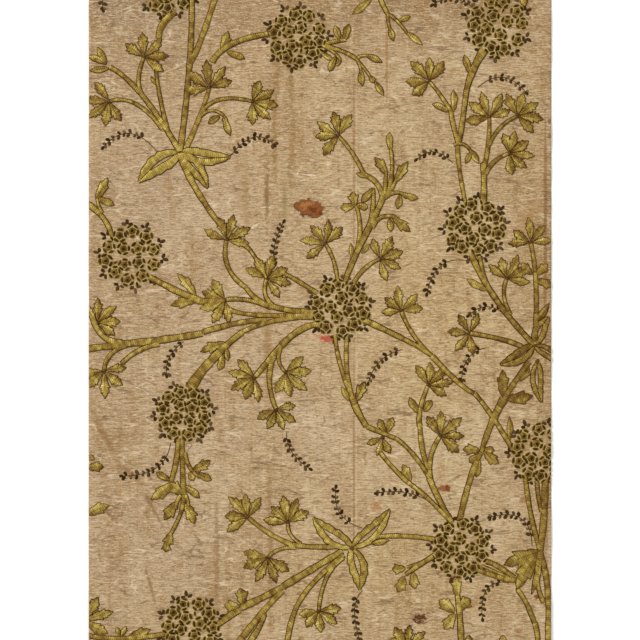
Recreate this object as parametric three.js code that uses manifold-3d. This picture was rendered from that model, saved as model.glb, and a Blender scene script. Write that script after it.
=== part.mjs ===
// Embroidered silk: one cut length of cloth lying face up, with its stitched stems, leaves and flowers raised.
// Millimetres, +Z up. The origin is at the middle of the flat underside, +Y runs up the pattern.
import * as THREE from "three";
import { mergeVertices } from "three/addons/utils/BufferGeometryUtils.js";
import Module from "manifold-3d";

const wasm = await Module();
wasm.setup();

// Driving dimensions
const CLOTH = { wide: 347, long: 484, thick: 1.2 };
const CREASE = { high: 0.4, foot: 0.6 };
const RAISE = { stem: 0.7, leaf: 0.55, blade: 0.62, bract: 0.85, rosette: 1.05, sprig: 0.4 };
const LAYERS = { step: 0.03, count: 5 };
const ROOT = 0.5;
const LEAF = { long: 1.12, slimness: 0.31, waist: 0.15, outerLobe: 0.9, widestAt: 0.55, fill: 0.42 };
const REACH = { hub: 6, head: 6 };
const STEM_SPAN = 30;
const BLADE_BELLY = 0.45;
const BRACT = { fromHub: 1, spans: 2, endShare: 0.25 };
const SPRIG = { width: 2.6, spans: 2, endShare: 0.35 };
const ROSETTE = { radius: 4.9, sides: 5 };
const HEAD_RINGS = [
  { count: 8, share: 0.87, turn: 0 },
  { count: 3, share: 0.4, turn: 0.4 },
];
const FULL_TURN = 2 * Math.PI;

// Rows become objects with the named columns
function table(columns, rows) {
  const names = columns.split(" ");
  return rows.map((row) => Object.fromEntries(names.map((name, i) => [name, row[i]])));
}

// Stems: from, through and to, with the width at each end
const STEMS = table("x0 y0 xm ym x1 y1 w0 w1", [
  [-108, 129, -133, 168, -158, 190, 5, 4],
  [-118, 143, -138, 162, -157, 165, 4, 3],
  [-133, 168, -136, 181, -133, 196, 4, 3],
  [-113, 138, -119, 162, -123, 187, 4, 3],
  [-104, 128, -98, 190, -104, 246, 5, 4.5],
  [-98, 192, -89, 211, -78, 244, 4.5, 4.5],
  [-100, 130, -90, 153, -82, 172, 4.5, 3],
  [-90, 153, -76, 165, -52, 165, 3.5, 3],
  [-92, 150, -82, 157, -72, 153, 3.2, 2.6],
  [-81, 193, -66, 207, -38, 215, 5, 4.5],
  [-121, 211, -118, 222, -109, 234, 5, 6],
  [-106, 124, -94, 100, -71, 66, 6, 4],
  [-156, 63, -163, 77, -176, 88, 4, 5.5],
  [-163, 80, -166, 86, -167, 92, 3.4, 2.6],
  [-125, 29, -110, 23, -92, 15, 4.5, 6],
  [-92, 15, -84, 14, -74, 14, 6, 4],
  [-71, 58, -69, 40, -55, 24, 3.6, 4.2],
  [-55, 24, -38, 11, -10, 5, 4.2, 5],
  [-69, 16, -55, 15, -36, 9, 3.6, 4],
  [-68, 9, -50, 4, -10, 2, 3.6, 4.4],
  [-58, 57, -50, 49, -42, 34, 3.6, 3],
  [-41, 27, -41, 19, -35, 11, 3.2, 3.8],
  [-29, 36, -18, 30, -5, 22, 3.6, 4],
  [19, 30, 25, 45, 38, 72, 4.4, 5.4],
  [38, 72, 43, 82, 48, 94, 5, 5],
  [28, 52, 30, 70, 27, 86, 4.4, 3],
  [34, 64, 39, 80, 40, 98, 4, 3.4],
  [47, 93, 42, 103, 33, 109, 5, 4],
  [33, 109, 25, 124, 14, 138, 4, 3],
  [49, 94, 49, 103, 50, 112, 3.8, 3],
  [51, 94, 54, 112, 53, 128, 4, 3],
  [50, 92, 54, 99, 58, 107, 4, 3],
  [48, 91, 54, 95, 62, 95, 4, 3.2],
  [39, 69, 46, 77, 57, 77, 4, 3.4],
  [27, 31, 33, 38, 45, 46, 4, 3.4],
  [13, 33, 10, 45, 4, 57, 3.4, 3.2],
  [4, 206, 12, 209, 20, 210, 4, 3],
  [8, 204, 18, 201, 28, 195, 4, 3.4],
  [28, 196, 31, 198, 36, 198, 3, 2.4],
  [27, 196, 33, 189, 38, 182, 3, 2.4],
  [28, 194, 30, 190, 31, 184, 2.8, 2.2],
  [10, 203, 14, 197, 12, 191, 3, 2.6],
  [43, 247, 47, 237, 51, 229, 4, 4],
  [51, 230, 51, 224, 53, 217, 3, 2.4],
  [52, 229, 59, 223, 66, 214, 3.2, 2.6],
  [122, 201, 113, 183, 109, 165, 8, 4.4],
  [109, 166, 107, 150, 104, 131, 4.4, 4.2],
  [104, 131, 100, 146, 98, 157, 4.2, 4],
  [98, 157, 90, 169, 82, 179, 3.6, 3],
  [100, 131, 109, 131, 115, 122, 3.2, 2.6],
  [103, 131, 105, 110, 109, 88, 3.8, 3.2],
  [123, 90, 123, 104, 122, 118, 5.4, 4.4],
  [122, 112, 126, 130, 127, 151, 4.4, 3],
  [127, 131, 135, 144, 148, 153, 3.6, 3],
  [124, 109, 131, 119, 142, 125, 4.2, 3.2],
  [113, 46, 133, 14, 159, -18, 5, 4.6],
  [120, 44, 123, 34, 128, 23, 3.4, 3],
  [139, 28, 138, 18, 143, 4, 3, 3.4],
  [158, 54, 162, 25, 160, -16, 3.4, 4.4],
  [0, -3, -14, -7, -29, -19, 5, 5.4],
  [-29, -19, -40, -32, -49, -43, 5.4, 4],
  [-34, -26, -38, -45, -34, -66, 4.6, 3.4],
  [-29, -20, -31, -30, -26, -39, 3.6, 3],
  [-12, 0, -36, -1, -58, -9, 4.4, 4],
  [-58, -9, -69, -18, -82, -31, 4.4, 7],
  [-82, -31, -90, -40, -97, -50, 7, 8.5],
  [-40, 0, -60, -2, -88, -9, 4, 5],
  [-88, -10, -120, -15, -150, -18, 5.4, 6],
  [-150, -19, -162, -20, -176, -22, 5.4, 5.4],
  [-148, -17, -163, -12, -171, 4, 5.4, 4.6],
  [-145, -19, -157, -26, -163, -37, 4.2, 3.6],
  [-120, -18, -136, -23, -149, -33, 4.2, 3.8],
  [-107, -92, -108, -106, -112, -122, 4.2, 4.2],
  [-104, -97, -103, -115, -102, -132, 4, 4.4],
  [-101, -99, -98, -110, -90, -118, 3.4, 3.4],
  [-102, -131, -105, -146, -113, -162, 4, 3],
  [-104, -131, -107, -136, -108, -142, 3.6, 3],
  [-101, -131, -99, -137, -99, -143, 3.4, 2.8],
  [11, -12, 15, -33, 24, -58, 3.4, 3.8],
  [21, -12, 20, -35, 24, -58, 3.4, 4],
  [24, -57, 28, -68, 35, -80, 6, 4.8],
  [35, -80, 45, -84, 57, -89, 4.4, 3.6],
  [57, -89, 70, -101, 83, -120, 3.6, 4],
  [45, -99, 54, -110, 66, -122, 3.6, 3.8],
  [66, -122, 80, -133, 97, -146, 3.8, 3.8],
  [82, -118, 88, -132, 97, -146, 5.4, 4],
  [37, -2, 50, -8, 70, -18, 5.4, 4],
  [70, -18, 77, -22, 84, -27, 4, 4],
  [62, 3, 70, -11, 84, -27, 3.4, 3.6],
  [84, -27, 104, -47, 116, -55, 4.8, 4],
  [116, -55, 131, -75, 149, -99, 4, 4.2],
  [80, -51, 75, -68, 75, -80, 3.2, 4.4],
  [75, -80, 77, -98, 82, -112, 4, 4.6],
  [88, -90, 83, -103, 83, -119, 3.4, 4.4],
  [115, -10, 134, -14, 152, -20, 3.8, 4.2],
  [157, -31, 147, -45, 138, -59, 4.4, 4.4],
  [138, -59, 128, -79, 121, -99, 7, 3.8],
  [121, -99, 113, -118, 104, -146, 4.4, 5],
  [153, -118, 158, -145, 164, -172, 4, 4],
  [169, -120, 168, -146, 168, -172, 5.4, 5.4],
  [162, -124, 164, -134, 166, -144, 3.6, 3.2],
  [148, -202, 155, -213, 161, -228, 4, 4.4],
  [161, -227, 163, -236, 163, -246, 4.4, 4.6],
  [167, -178, 171, -205, 171, -246, 4.4, 6],
  [164, -178, 163, -195, 168, -212, 4, 3.8],
  [121, -179, 134, -185, 146, -193.5, 4, 4.6],
  [122, -185, 131, -188.5, 142, -193, 2.6, 2.6],
  [120, -190, 134, -192.8, 147, -195, 3.6, 5],
  [40, -163, 62, -162, 88, -165, 3.8, 4.2],
  [84, -177, 74, -184, 64, -191, 5, 3.4],
  [81, -179, 73, -183, 65, -185, 3.4, 2.8],
  [103, -206, 105, -224, 106, -246, 4.6, 5.2],
  [14, -170, -6, -170, -24, -168, 3.8, 4.4],
  [-22, -168, -38, -160, -52, -148, 4.2, 3.8],
  [-14, -168, -22, -161, -24, -152, 3.2, 3],
  [-18, -171, -30, -172, -38, -178, 3.4, 3],
  [17, -173, -8, -188, -28, -200, 5, 6],
  [-28, -200, -43, -208, -60, -216, 4.8, 6],
  [-60, -217, -68, -222, -78, -229, 6, 4.8],
  [-28, -203, -43, -219, -62, -243, 4.4, 5.6],
  [-42, -220, -45, -229, -55, -245, 4, 5.6],
  [18, -176, -4, -196, -17, -214, 4, 4],
  [-17, -214, -22, -228, -25, -246, 4, 5],
  [18, -178, 5, -193, -1, -216, 4, 3],
  [-176, -236, -150, -239, -118, -236, 4, 4.4],
]);

// Palmate leaves: hub, direction of the middle lobe, lobe length, spread and lobes
const PALMS = table("x y aim size spread lobes", [
  [-158, 164, 214, 17, 172, 5],
  [-132, 197, 52, 17, 180, 5],
  [-83, 174, 99, 18, 170, 5],
  [-51, 164, -9, 18, 154, 5],
  [14, 138, 143, 18, 174, 5],
  [82, 179, 135, 18, 167, 5],
  [127, 152, 104, 18, 164, 5],
  [148, 153, 35, 18, 156, 5],
  [142, 125, 15, 17, 190, 6],
  [-70, 60, 72, 18, 163, 5],
  [-71, 15, 200, 18, 156, 5],
  [4, 57, 130, 17, 176, 5],
  [45, 46, 19, 17, 180, 5],
  [-40, 31, 51, 17, 212, 6],
  [61, 7, 95, 16, 185, 5],
  [140, 31, 66, 17, 150, 5],
  [158, 58, 96, 16, 175, 5],
  [-167, -2, 45, 17, 160, 5],
  [-162, -38, 275, 18, 180, 5],
  [-49, -43, 206, 18, 148, 5],
  [-26, -39, -37, 18, 153, 5],
  [-33, -67, -70, 16, 163, 5],
  [50, -86, 93, 14, 46, 2],
  [47, -88, 248, 13, 92, 3],
  [81, -49, 46, 17, 154, 5],
  [90, -87, 44, 18, 166, 5],
  [112, -10, 178, 16, 216, 5],
  [-54, -148, 137, 18, 160, 5],
  [-24, -152, 102, 18, 150, 5],
  [-39, -178, 245, 18, 156, 5],
  [-1, -218, -80, 16, 182, 5],
  [66, -246, 100, 17, 110, 4],
  [-177, -225, 16, 20, 84, 3],
  [-150, -239, 85, 10, 46, 2],
]);

// Single leaves and long buds: stalk end, tip and width
const BLADES = table("x0 y0 x1 y1 width", [
  [-158, 189, -173, 187, 5],
  [-160, 192, -175, 198, 5],
  [-160, 193, -167, 205, 5],
  [-72, 154, -67, 138, 5.5],
  [-75, 153, -84, 147, 5],
  [-74, 202, -69, 217, 6.5],
  [-70, 201, -56, 196, 6],
  [-123, 176, -127, 183, 2.6],
  [18, 209, 22, 222, 6],
  [15, 210, 11, 221, 5],
  [12, 198, 7, 186, 5.5],
  [1, 200, 10, 195, 4],
  [34, 199, 47, 193, 5],
  [37, 183, 41, 178, 4.5],
  [41, 179, 48, 168, 4.6],
  [31, 188, 32, 175, 5],
  [39, 242, 24, 229, 6],
  [52, 220, 55, 209, 4.6],
  [65, 216, 77, 206, 4.8],
  [59, 224, 68, 228, 4],
  [53, 127, 52, 141, 5.5],
  [50, 109, 41, 122, 7],
  [36, 107, 27, 110, 4],
  [56, 103, 66, 119, 7],
  [60, 95, 74, 91, 5.5],
  [60, 94, 58, 83, 5],
  [54, 78, 68, 66, 7],
  [52, 76, 53, 66, 5],
  [24, 46, 23, 58, 3.4],
  [31, 50, 37, 57, 3.4],
  [41, 99, 31, 88, 6],
  [26, 86, 15, 84, 6.5],
  [26, 85, 24, 96, 7],
  [27, 86, 36, 84, 6],
  [113, 184, 108, 199, 5.5],
  [100, 156, 100, 173, 5.5],
  [97, 156, 84, 162, 5.5],
  [113, 128, 119, 117, 5],
  [113, 126, 109, 117, 4],
  [-168, 90, -159, 107, 7],
  [-167, 91, -154, 86, 6],
  [-93, 18, -107, 35, 7],
  [-93, 14, -112, 11, 7],
  [126, 22, 110, 31, 6],
  [159, 34, 151, 43, 7],
  [162, 34, 171, 42, 6.5],
  [162, 30, 175, 25, 6.5],
  [161, -2, 172, 13, 5],
  [-70, -17, -90, -24, 7],
  [-73, -26, -76, -38, 6],
  [-70, -21, -69, -31, 4],
  [-96, -113, -82, -105, 7],
  [-93, -115, -81, -120, 6],
  [-98, -114, -95, -121, 5],
  [-112, -120, -123, -114, 5.5],
  [-109, -122, -127, -135, 8.5],
  [-103, -124, -90, -134, 6],
  [-107, -136, -117, -150, 8],
  [-101, -137, -94, -153, 8],
  [-103, -131, -113, -122, 9],
  [-112, -160, -115, -169, 7.5],
  [-115, -166, -116, -174, 6.5],
  [-175, -111, -162, -110, 7],
  [-175, -102, -169, -104, 4],
  [-175, -146, -158, -139, 8],
  [22, -61, 16, -50, 4.6],
  [27, -61, 34, -46, 7],
  [75, -70, 67, -58, 6],
  [78, -69, 84, -60, 5.5],
  [142, -91, 142, -72, 4.5],
  [68, -121, 62, -108, 6.5],
  [137, -58, 137, -37, 8],
  [139, -59, 160, -57, 9],
  [148, -46, 157, -35, 6.5],
  [120, -98, 107, -97, 7],
  [123, -98, 134, -108, 8],
  [123, -97, 131, -98, 5],
  [119, -101, 112, -107, 6],
  [119, -104, 117, -118, 5.5],
  [63, -192, 58, -204, 8],
  [70, -189, 71, -202, 7],
  [64, -186, 54, -187, 7],
  [103, -208, 101, -192, 7],
  [101, -219, 89, -210, 9],
  [103, -217, 113, -209, 9],
  [101, -220, 93, -232, 8.5],
  [-144, -238, -127, -232, 7],
  [-60, -215, -72, -214, 8],
  [-58, -214, -60, -201, 8.5],
  [38, -168, 52, -165, 4.5],
  [111, -248, 112, -236, 6],
  [137, -248, 137, -236, 6],
  [150, 246, 154, 235, 6],
  [165, -173, 137.5, -184, 11.3],
  [165, -173, 147, -203, 11],
  [165, -173, 158.5, -206, 5.6],
]);

// Open leaves: base, tip, width and the width of the slit of bare cloth
const BRACTS = table("x0 y0 x1 y1 width slit", [
  [-105, 126, -67, 121, 12.3, 1.6],
  [-105, 126, -137, 104.5, 15, 2.4],
  [-105, 126, -83, 99.5, 11.6, 1.4],
  [161, -19, 135.5, -34.4, 11, 1.2],
  [163, -31, 165, -62, 9.5, 2.4],
  [161, -19, 171, 3, 10, 2.6],
  [161, -19, 182, -33, 9, 1.8],
  [24, -171, -6, -149.5, 13.4, 4.2],
  [24, -171, 53.5, -143, 12, 3.2],
  [24, -171, 31, -202, 13.8, 3.8],
]);

// Where leaves spread from and stems run into
const HUBS = [...PALMS, ...[...BRACTS, BLADES.at(-1)].map(({ x0, y0 }) => ({ x: x0, y: y0 }))];

// Round flower heads: middle and radius
const HEADS = table("x y r", [
  [-114, 251, 20],
  [-17, 212, 20],
  [133, 221, 21],
  [-142, 48, 21],
  [116, 69, 20],
  [15, 9, 20],
  [-102, -70, 19],
  [165, -100, 20],
  [106, -171, 20],
  [-97, -230, 20],
]);

// Dark sprigs: stalk end, through and tip
const SPRIGS = table("x0 y0 xm ym x1 y1", [
  [-122, 126, -143, 140, -163, 129],
  [-68, 122, -50, 137, -34, 131],
  [118, 174, 137, 182, 155, 170],
  [100, 117, 86, 126, 72, 120],
  [116, 233, 100, 241, 84, 236],
  [-34, 38, -34, 56, -27, 74],
  [112, 44, 91, 41, 80, 19],
  [137, 5, 124, 10, 111, 3],
  [-102, -16, -113, -28, -115, -42],
  [-112, -92, -123, -111, -149, -117],
  [-25, -84, -21, -99, -7, -112],
  [62, -22, 45, -31, 36, -48],
  [124, -21, 111, -29, 106, -46],
  [32, -156, 15, -145, 12, -125],
  [80, -135, 62, -129, 42, -130],
  [159, -170, 151, -149, 127, -148],
  [142, -197, 125, -202, 122, -225],
  [32, -203, 26, -217, 30, -241],
]);

// Pressed creases: from and to, with the width of the soft ridge
const CREASES = table("x0 y0 x1 y1 width", [
  [25.5, 236, 25.5, -236, 2.4],
  [50, 236, 51, 160, 3],
  [-39, 236, -41, 70, 4],
  [-21, 236, -27, 150, 4],
  [-36, -88, -39, -236, 4],
  [-78, -128, -77, -205, 4],
  [169, 150, 169, -40, 3],
  [-171, -74, -151, -109, 3],
  [-150, -109, -126, -139, 3],
  [-126, -140, -121, -158, 3],
  [-132, -184, -124, -216, 3],
]);

function solidFrom(geometry) {
  geometry.deleteAttribute("normal");
  geometry.deleteAttribute("uv");
  const merged = mergeVertices(geometry);
  const triVerts = new Uint32Array(merged.index.array);
  const vertProperties = new Float32Array(merged.attributes.position.array);
  return new wasm.Manifold(new wasm.Mesh({ numProp: 3, vertProperties, triVerts }));
}

function clothSlab() {
  const box = new THREE.BoxGeometry(CLOTH.wide, CLOTH.long, CLOTH.thick);
  box.translate(0, 0, CLOTH.thick / 2);
  return solidFrom(box);
}

// A stitched form: its outline, rooted in the cloth and raised above it, with neighbours at slightly other heights
function raised(outline, raise, rank) {
  const depth = CLOTH.thick + raise + LAYERS.step * (rank % LAYERS.count) - ROOT;
  const prism = new THREE.ExtrudeGeometry(new THREE.Shape(outline), { depth, bevelEnabled: false });
  prism.translate(0, 0, ROOT);
  return solidFrom(prism);
}

// The curve that runs from one end through the middle point to the other end
function arcThrough({ x0, y0, xm, ym, x1, y1 }) {
  const control = new THREE.Vector2(2 * xm - (x0 + x1) / 2, 2 * ym - (y0 + y1) / 2);
  return new THREE.QuadraticBezierCurve(new THREE.Vector2(x0, y0), control, new THREE.Vector2(x1, y1));
}

// The outline of a strip along a curve, with its width given at each share of the way
function stripOutline(curve, spans, widthAt) {
  const left = [];
  const right = [];
  for (let i = 0; i <= spans; i += 1) {
    const share = i / spans;
    const place = curve.getPoint(share);
    const way = curve.getTangent(share);
    const half = widthAt(share) / 2;
    left.push(new THREE.Vector2(place.x - way.y * half, place.y + way.x * half));
    right.unshift(new THREE.Vector2(place.x + way.y * half, place.y - way.x * half));
  }
  return [...right, ...left];
}

function polar(x, y, angle, radius) {
  return new THREE.Vector2(x + radius * Math.cos(angle), y + radius * Math.sin(angle));
}

// Where a stem ends: at the leaf hub or the flower head that it almost meets, or else where its row says
function reachOut(x, y) {
  const hub = HUBS.find((row) => Math.hypot(row.x - x, row.y - y) < REACH.hub);
  if (hub) {
    return [hub.x, hub.y];
  }
  const flower = HEADS.find((row) => Math.hypot(row.x - x, row.y - y) < row.r + REACH.head);
  if (flower) {
    const share = flower.r / Math.hypot(flower.x - x, flower.y - y);
    return [THREE.MathUtils.lerp(flower.x, x, share), THREE.MathUtils.lerp(flower.y, y, share)];
  }
  return [x, y];
}

function stem(row, rank) {
  const [x0, y0] = reachOut(row.x0, row.y0);
  const [x1, y1] = reachOut(row.x1, row.y1);
  const curve = arcThrough({ ...row, x0, y0, x1, y1 });
  const spans = Math.max(1, Math.round(curve.getLength() / STEM_SPAN));
  const outline = stripOutline(curve, spans, (share) => THREE.MathUtils.lerp(row.w0, row.w1, share));
  return raised(outline, RAISE.stem, rank);
}

// A palmate leaf: pointed lobes around a hub, the outer ones a little shorter
function palm({ x, y, aim, size, spread, lobes }, rank) {
  const step = THREE.MathUtils.degToRad(spread) / (lobes - 1);
  const first = THREE.MathUtils.degToRad(aim - spread / 2);
  const outline = [];
  for (let i = 0; i < lobes; i += 1) {
    const angle = first + i * step;
    const outer = Math.abs((2 * i) / (lobes - 1) - 1);
    const length = size * LEAF.long * THREE.MathUtils.lerp(1, LEAF.outerLobe, outer);
    const halfTurn = Math.min(Math.atan(LEAF.slimness / 2 / LEAF.widestAt), step * LEAF.fill);
    const bulge = (length * LEAF.widestAt) / Math.cos(halfTurn);
    outline.push(polar(x, y, angle - step / 2, size * LEAF.waist));
    outline.push(polar(x, y, angle - halfTurn, bulge));
    outline.push(polar(x, y, angle, length));
    outline.push(polar(x, y, angle + halfTurn, bulge));
  }
  const last = first + (lobes - 0.5) * step;
  outline.push(polar(x, y, last, size * LEAF.waist));
  outline.push(polar(x, y, THREE.MathUtils.degToRad(aim + 180), size * LEAF.waist));
  return raised(outline, RAISE.leaf, rank);
}

function bladeOutline({ x0, y0, x1, y1, width }) {
  const base = new THREE.Vector2(x0, y0);
  const tip = new THREE.Vector2(x1, y1);
  const way = tip.clone().sub(base).normalize();
  const side = new THREE.Vector2(-way.y, way.x).multiplyScalar(width / 2);
  const belly = base.clone().lerp(tip, BLADE_BELLY);
  return [base, belly.clone().sub(side), tip, belly.clone().add(side)];
}

function blade(row, rank) {
  return raised(bladeOutline(row), RAISE.blade, rank);
}

// An open leaf: two curved strips that leave a slit of bare cloth between them
function bract(row, rank) {
  const way = new THREE.Vector2(row.x1 - row.x0, row.y1 - row.y0).normalize();
  const x0 = row.x0 + way.x * BRACT.fromHub;
  const y0 = row.y0 + way.y * BRACT.fromHub;
  const halves = [1, -1].map((side) => {
    const reach = (side * (row.width + row.slit)) / 4;
    const xm = (x0 + row.x1) / 2 - way.y * reach;
    const ym = (y0 + row.y1) / 2 + way.x * reach;
    const thickness = (row.width - row.slit) / 2;
    const widthAt = (share) => thickness * THREE.MathUtils.lerp(BRACT.endShare, 1, Math.sin(Math.PI * share));
    return raised(stripOutline(arcThrough({ ...row, x0, y0, xm, ym }), BRACT.spans, widthAt), RAISE.bract, rank);
  });
  return halves[0].add(halves[1]);
}

// A flower head: rings of rosettes
function head({ x, y, r }, rank) {
  const forms = [];
  for (const { count, share, turn } of HEAD_RINGS) {
    for (let i = 0; i < count; i += 1) {
      const middle = polar(x, y, rank + turn + (FULL_TURN * i) / count, r * share);
      const corners = Array.from({ length: ROSETTE.sides }, (_, k) =>
        polar(middle.x, middle.y, turn + (FULL_TURN * k) / ROSETTE.sides, ROSETTE.radius));
      forms.push(raised(corners, RAISE.rosette, i));
    }
  }
  return joined(forms);
}

function sprig(row, rank) {
  const widthAt = (share) => SPRIG.width * THREE.MathUtils.lerp(SPRIG.endShare, 1, Math.sin(Math.PI * share));
  return raised(stripOutline(arcThrough(row), SPRIG.spans, widthAt), RAISE.sprig, rank);
}

// A crease: a low ridge with a sharp top, pressed into the cloth
function crease({ x0, y0, x1, y1, width }) {
  const length = Math.hypot(x1 - x0, y1 - y0);
  const section = new THREE.Shape([
    new THREE.Vector2(-width / 2, CREASE.foot),
    new THREE.Vector2(width / 2, CREASE.foot),
    new THREE.Vector2(0, CLOTH.thick + CREASE.high),
  ]);
  const ridge = new THREE.ExtrudeGeometry(section, { depth: length, bevelEnabled: false });
  ridge.rotateX(Math.PI / 2);
  ridge.rotateZ(Math.atan2(y1 - y0, x1 - x0) + Math.PI / 2);
  ridge.translate(x0, y0, 0);
  return solidFrom(ridge);
}

// Joins the solids two by two, so that each join stays small
function joined(solids) {
  let rest = solids;
  while (rest.length > 1) {
    const next = [];
    for (let i = 0; i < rest.length; i += 2) {
      next.push(i + 1 < rest.length ? rest[i].add(rest[i + 1]) : rest[i]);
    }
    rest = next;
  }
  return rest[0];
}

function embroideredSilk() {
  const trim = new THREE.BoxGeometry(CLOTH.wide, CLOTH.long, 2 * CLOTH.long);
  const stitching = joined([
    ...STEMS.map(stem),
    ...PALMS.map(palm),
    ...BLADES.map(blade),
    ...BRACTS.map(bract),
    ...HEADS.map(head),
    ...SPRIGS.map(sprig),
  ]).intersect(solidFrom(trim));
  const creased = joined([clothSlab(), ...CREASES.map(crease)]);
  const { vertProperties, triVerts } = creased.add(stitching).getMesh();
  const geometry = new THREE.BufferGeometry();
  geometry.setAttribute("position", new THREE.BufferAttribute(new Float32Array(vertProperties), 3));
  geometry.setIndex(new THREE.BufferAttribute(new Uint32Array(triVerts), 1));
  return geometry;
}

const silk = new THREE.MeshStandardMaterial({ color: 0xb29772, roughness: 0.7, metalness: 0 });
const cloth = new THREE.Mesh(embroideredSilk(), silk);
cloth.name = "embroidered_silk";

const group = new THREE.Group();
group.add(cloth);
export default group;
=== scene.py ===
"""Embroidered silk panel: a cut length of old cream silk, worked with gold stems, leaves and flower heads.

The silk is one creased sheet over its solid. The stitching lies on it as domed satin stitch, couched brown outline
cords, rosettes, buds and sprigs. Tables are in millimetres from the middle of the underside, +Y up the pattern.
"""
import math
from collections import namedtuple
from types import SimpleNamespace as Values

import bpy
import numpy as np
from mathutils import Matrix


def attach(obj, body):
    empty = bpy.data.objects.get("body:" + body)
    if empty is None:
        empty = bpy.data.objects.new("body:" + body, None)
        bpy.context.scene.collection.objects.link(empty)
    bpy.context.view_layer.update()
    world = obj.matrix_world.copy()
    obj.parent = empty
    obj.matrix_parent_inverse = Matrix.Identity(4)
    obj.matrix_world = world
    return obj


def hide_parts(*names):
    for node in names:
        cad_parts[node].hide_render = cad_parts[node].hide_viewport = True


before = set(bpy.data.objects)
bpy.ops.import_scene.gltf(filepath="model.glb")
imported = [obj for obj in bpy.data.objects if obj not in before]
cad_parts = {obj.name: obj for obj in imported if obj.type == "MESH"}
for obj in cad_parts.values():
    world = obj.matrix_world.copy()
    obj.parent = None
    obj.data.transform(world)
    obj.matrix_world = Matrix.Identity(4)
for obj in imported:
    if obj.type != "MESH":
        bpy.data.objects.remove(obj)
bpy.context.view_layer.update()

NODE = "embroidered_silk"
BODY = "root"
MM = 0.001
SEED = 11

# Driving dimensions, in millimetres. Tones run from 0, tarnished or in painted shade, to 1, bright, and pairs are the
# ends of a range
CLOTH = Values(wide=347.0, long=484.0, thick=1.2)
SHEET = Values(column=3.6, row=0.92, rows_under=12, hem=(0.35, 0.9, 1.8), edge_drop=0.55, edge_reach=1.6, closest=0.3)
COCKLE = Values(high=0.2, count=14, lengths=(22.0, 95.0))
CRINKLE = Values(high=0.08, count=22, across=(2.4, 5.5), along=(14.0, 60.0))
CREASE = Values(high=0.4, wander=0.27, fine=(0.5, 1.3, 2.4), fade=14.0, upright=3.0, waves=(23.0, 9.0),
                swell=(17.0, 1.7, 0.3))
PATCH = Values(amount=0.11, count=12, lengths=(5.0, 16.0))
GRAIN = Values(amount=0.1, count=16, lengths=(1.4, 3.4))
FOOT = -0.12
INSIDE_EDGE = 0.1
# STEM's tones for a run's swell, its crown, its sides and one side are painted highlight and shade
STEM = Values(seed=10, high=0.78, step=0.5, edge=0.35, joint=(4.5, 9.0), snap=6.0, head_snap=9.0, bow=0.8, fill=0.98,
              wobble=0.07, wave=(2.2, 4.0), waist=0.86, shown=0.7, joint_high=0.15, tone=(0.38, 0.6), swell_tone=0.08,
              fall_tone=0.16, back_tone=0.16, side_tone=0.12, lean_tone=0.05, cord_tone=(0.3, 0.85),
              cord_wide=(0.78, 1.2), joint_tone=(0.5, 1.0), joint_wide=(0.8, 1.3), joint_reach=0.92, sunk=0.08)
# LEAF's tone that lightens one half of a lobe and darkens the other is painted light and shade
LEAF = Values(seed=20, high=0.66, step=0.42, edge=0.32, slim=0.37, long=1.12, outer=0.9, hub=1.7, from_hub=1.3,
              widest=0.5, sharp=1.25, teeth=3, toothed=(0.28, 0.93), deep=0.3, sway=0.07, fan=1.3, hub_tone=0.12,
              tarnish=(0.04, 0.44), sheen=(0.05, 0.17), cord_tone=(0.3, 0.75), cord_wide=(0.7, 1.25), rib=(0.1, 0.66),
              rib_high=0.14, rib_tone=0.2, groove=(0.16, 0.22), bend=0.05, stray=0.05, depth=(0.7, 1.2), lean=0.5)
BLADE = Values(seed=30, high=0.66, widest=0.44, fill=0.98, tooth_widths=(5, 6))
BRACT = Values(seed=40, high=0.85, from_hub=0.8, slit=(0.1, 0.7), widest=0.36, sharp=0.8, deep=0.1, hub=2.0,
               bend=0.05, teeth=3, toothed=(0.2, 0.92), tone=(0.44, 0.6), hub_tone=0.2, cord_step=0.7,
               cord_tones=(0.4, 0.45), rib_end=0.93)
CORD = Values(wide=0.8, high=0.5, leaf=0.66, fine=0.5, step=0.8, leaf_step=0.5, joint_step=0.9, end=0.35,
              section=(-1.0, -0.62, 0.0, 0.62, 1.0))
HEAD = Values(seed=50, rings=((10, 0.87, 0.0), (4, 0.38, 0.4)), stray=0.1, reach=(0.94, 1.05))
ROSETTE = Values(ring=3.0, petals=5, petal_at=4.1, petal_long=5.0, petal_wide=2.9, high=0.95, knot=1.9, rim=0.46,
                 rim_high=0.3, size=(0.92, 1.08), petal_size=(0.9, 1.08), disc_tone=(0.14, 0.44),
                 petal_tone=(0.1, 0.34))
SPARE = Values(tries=60, reach=(0.15, 1.1), from_middle=6.3, apart=3.6, turn=0.6, size=0.86)
BUD = Values(count=10, out=2.1, long=4.6, wide=2.9, high=0.5, spread=1.25, tone=(0.1, 0.7))
SPRIG = Values(seed=60, step=0.8, pair=4.3, leaflet=(3.9, 2.8), stalk=0.6, stalk_high=0.3, high=0.4, aside=0.45,
               open=(0.65, 1.05), sizes=(1.04, 0.82), paler=(0.0, 0.3), tone=(0.0, 0.6), clear=1.0)
VIEW = Values(high=480.0, lens=100.0, sensor=36.0)


def table(columns, rows):
    """Rows become objects with the named columns"""
    row_kind = namedtuple("Row", columns)
    return [row_kind(*row) for row in rows]


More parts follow.
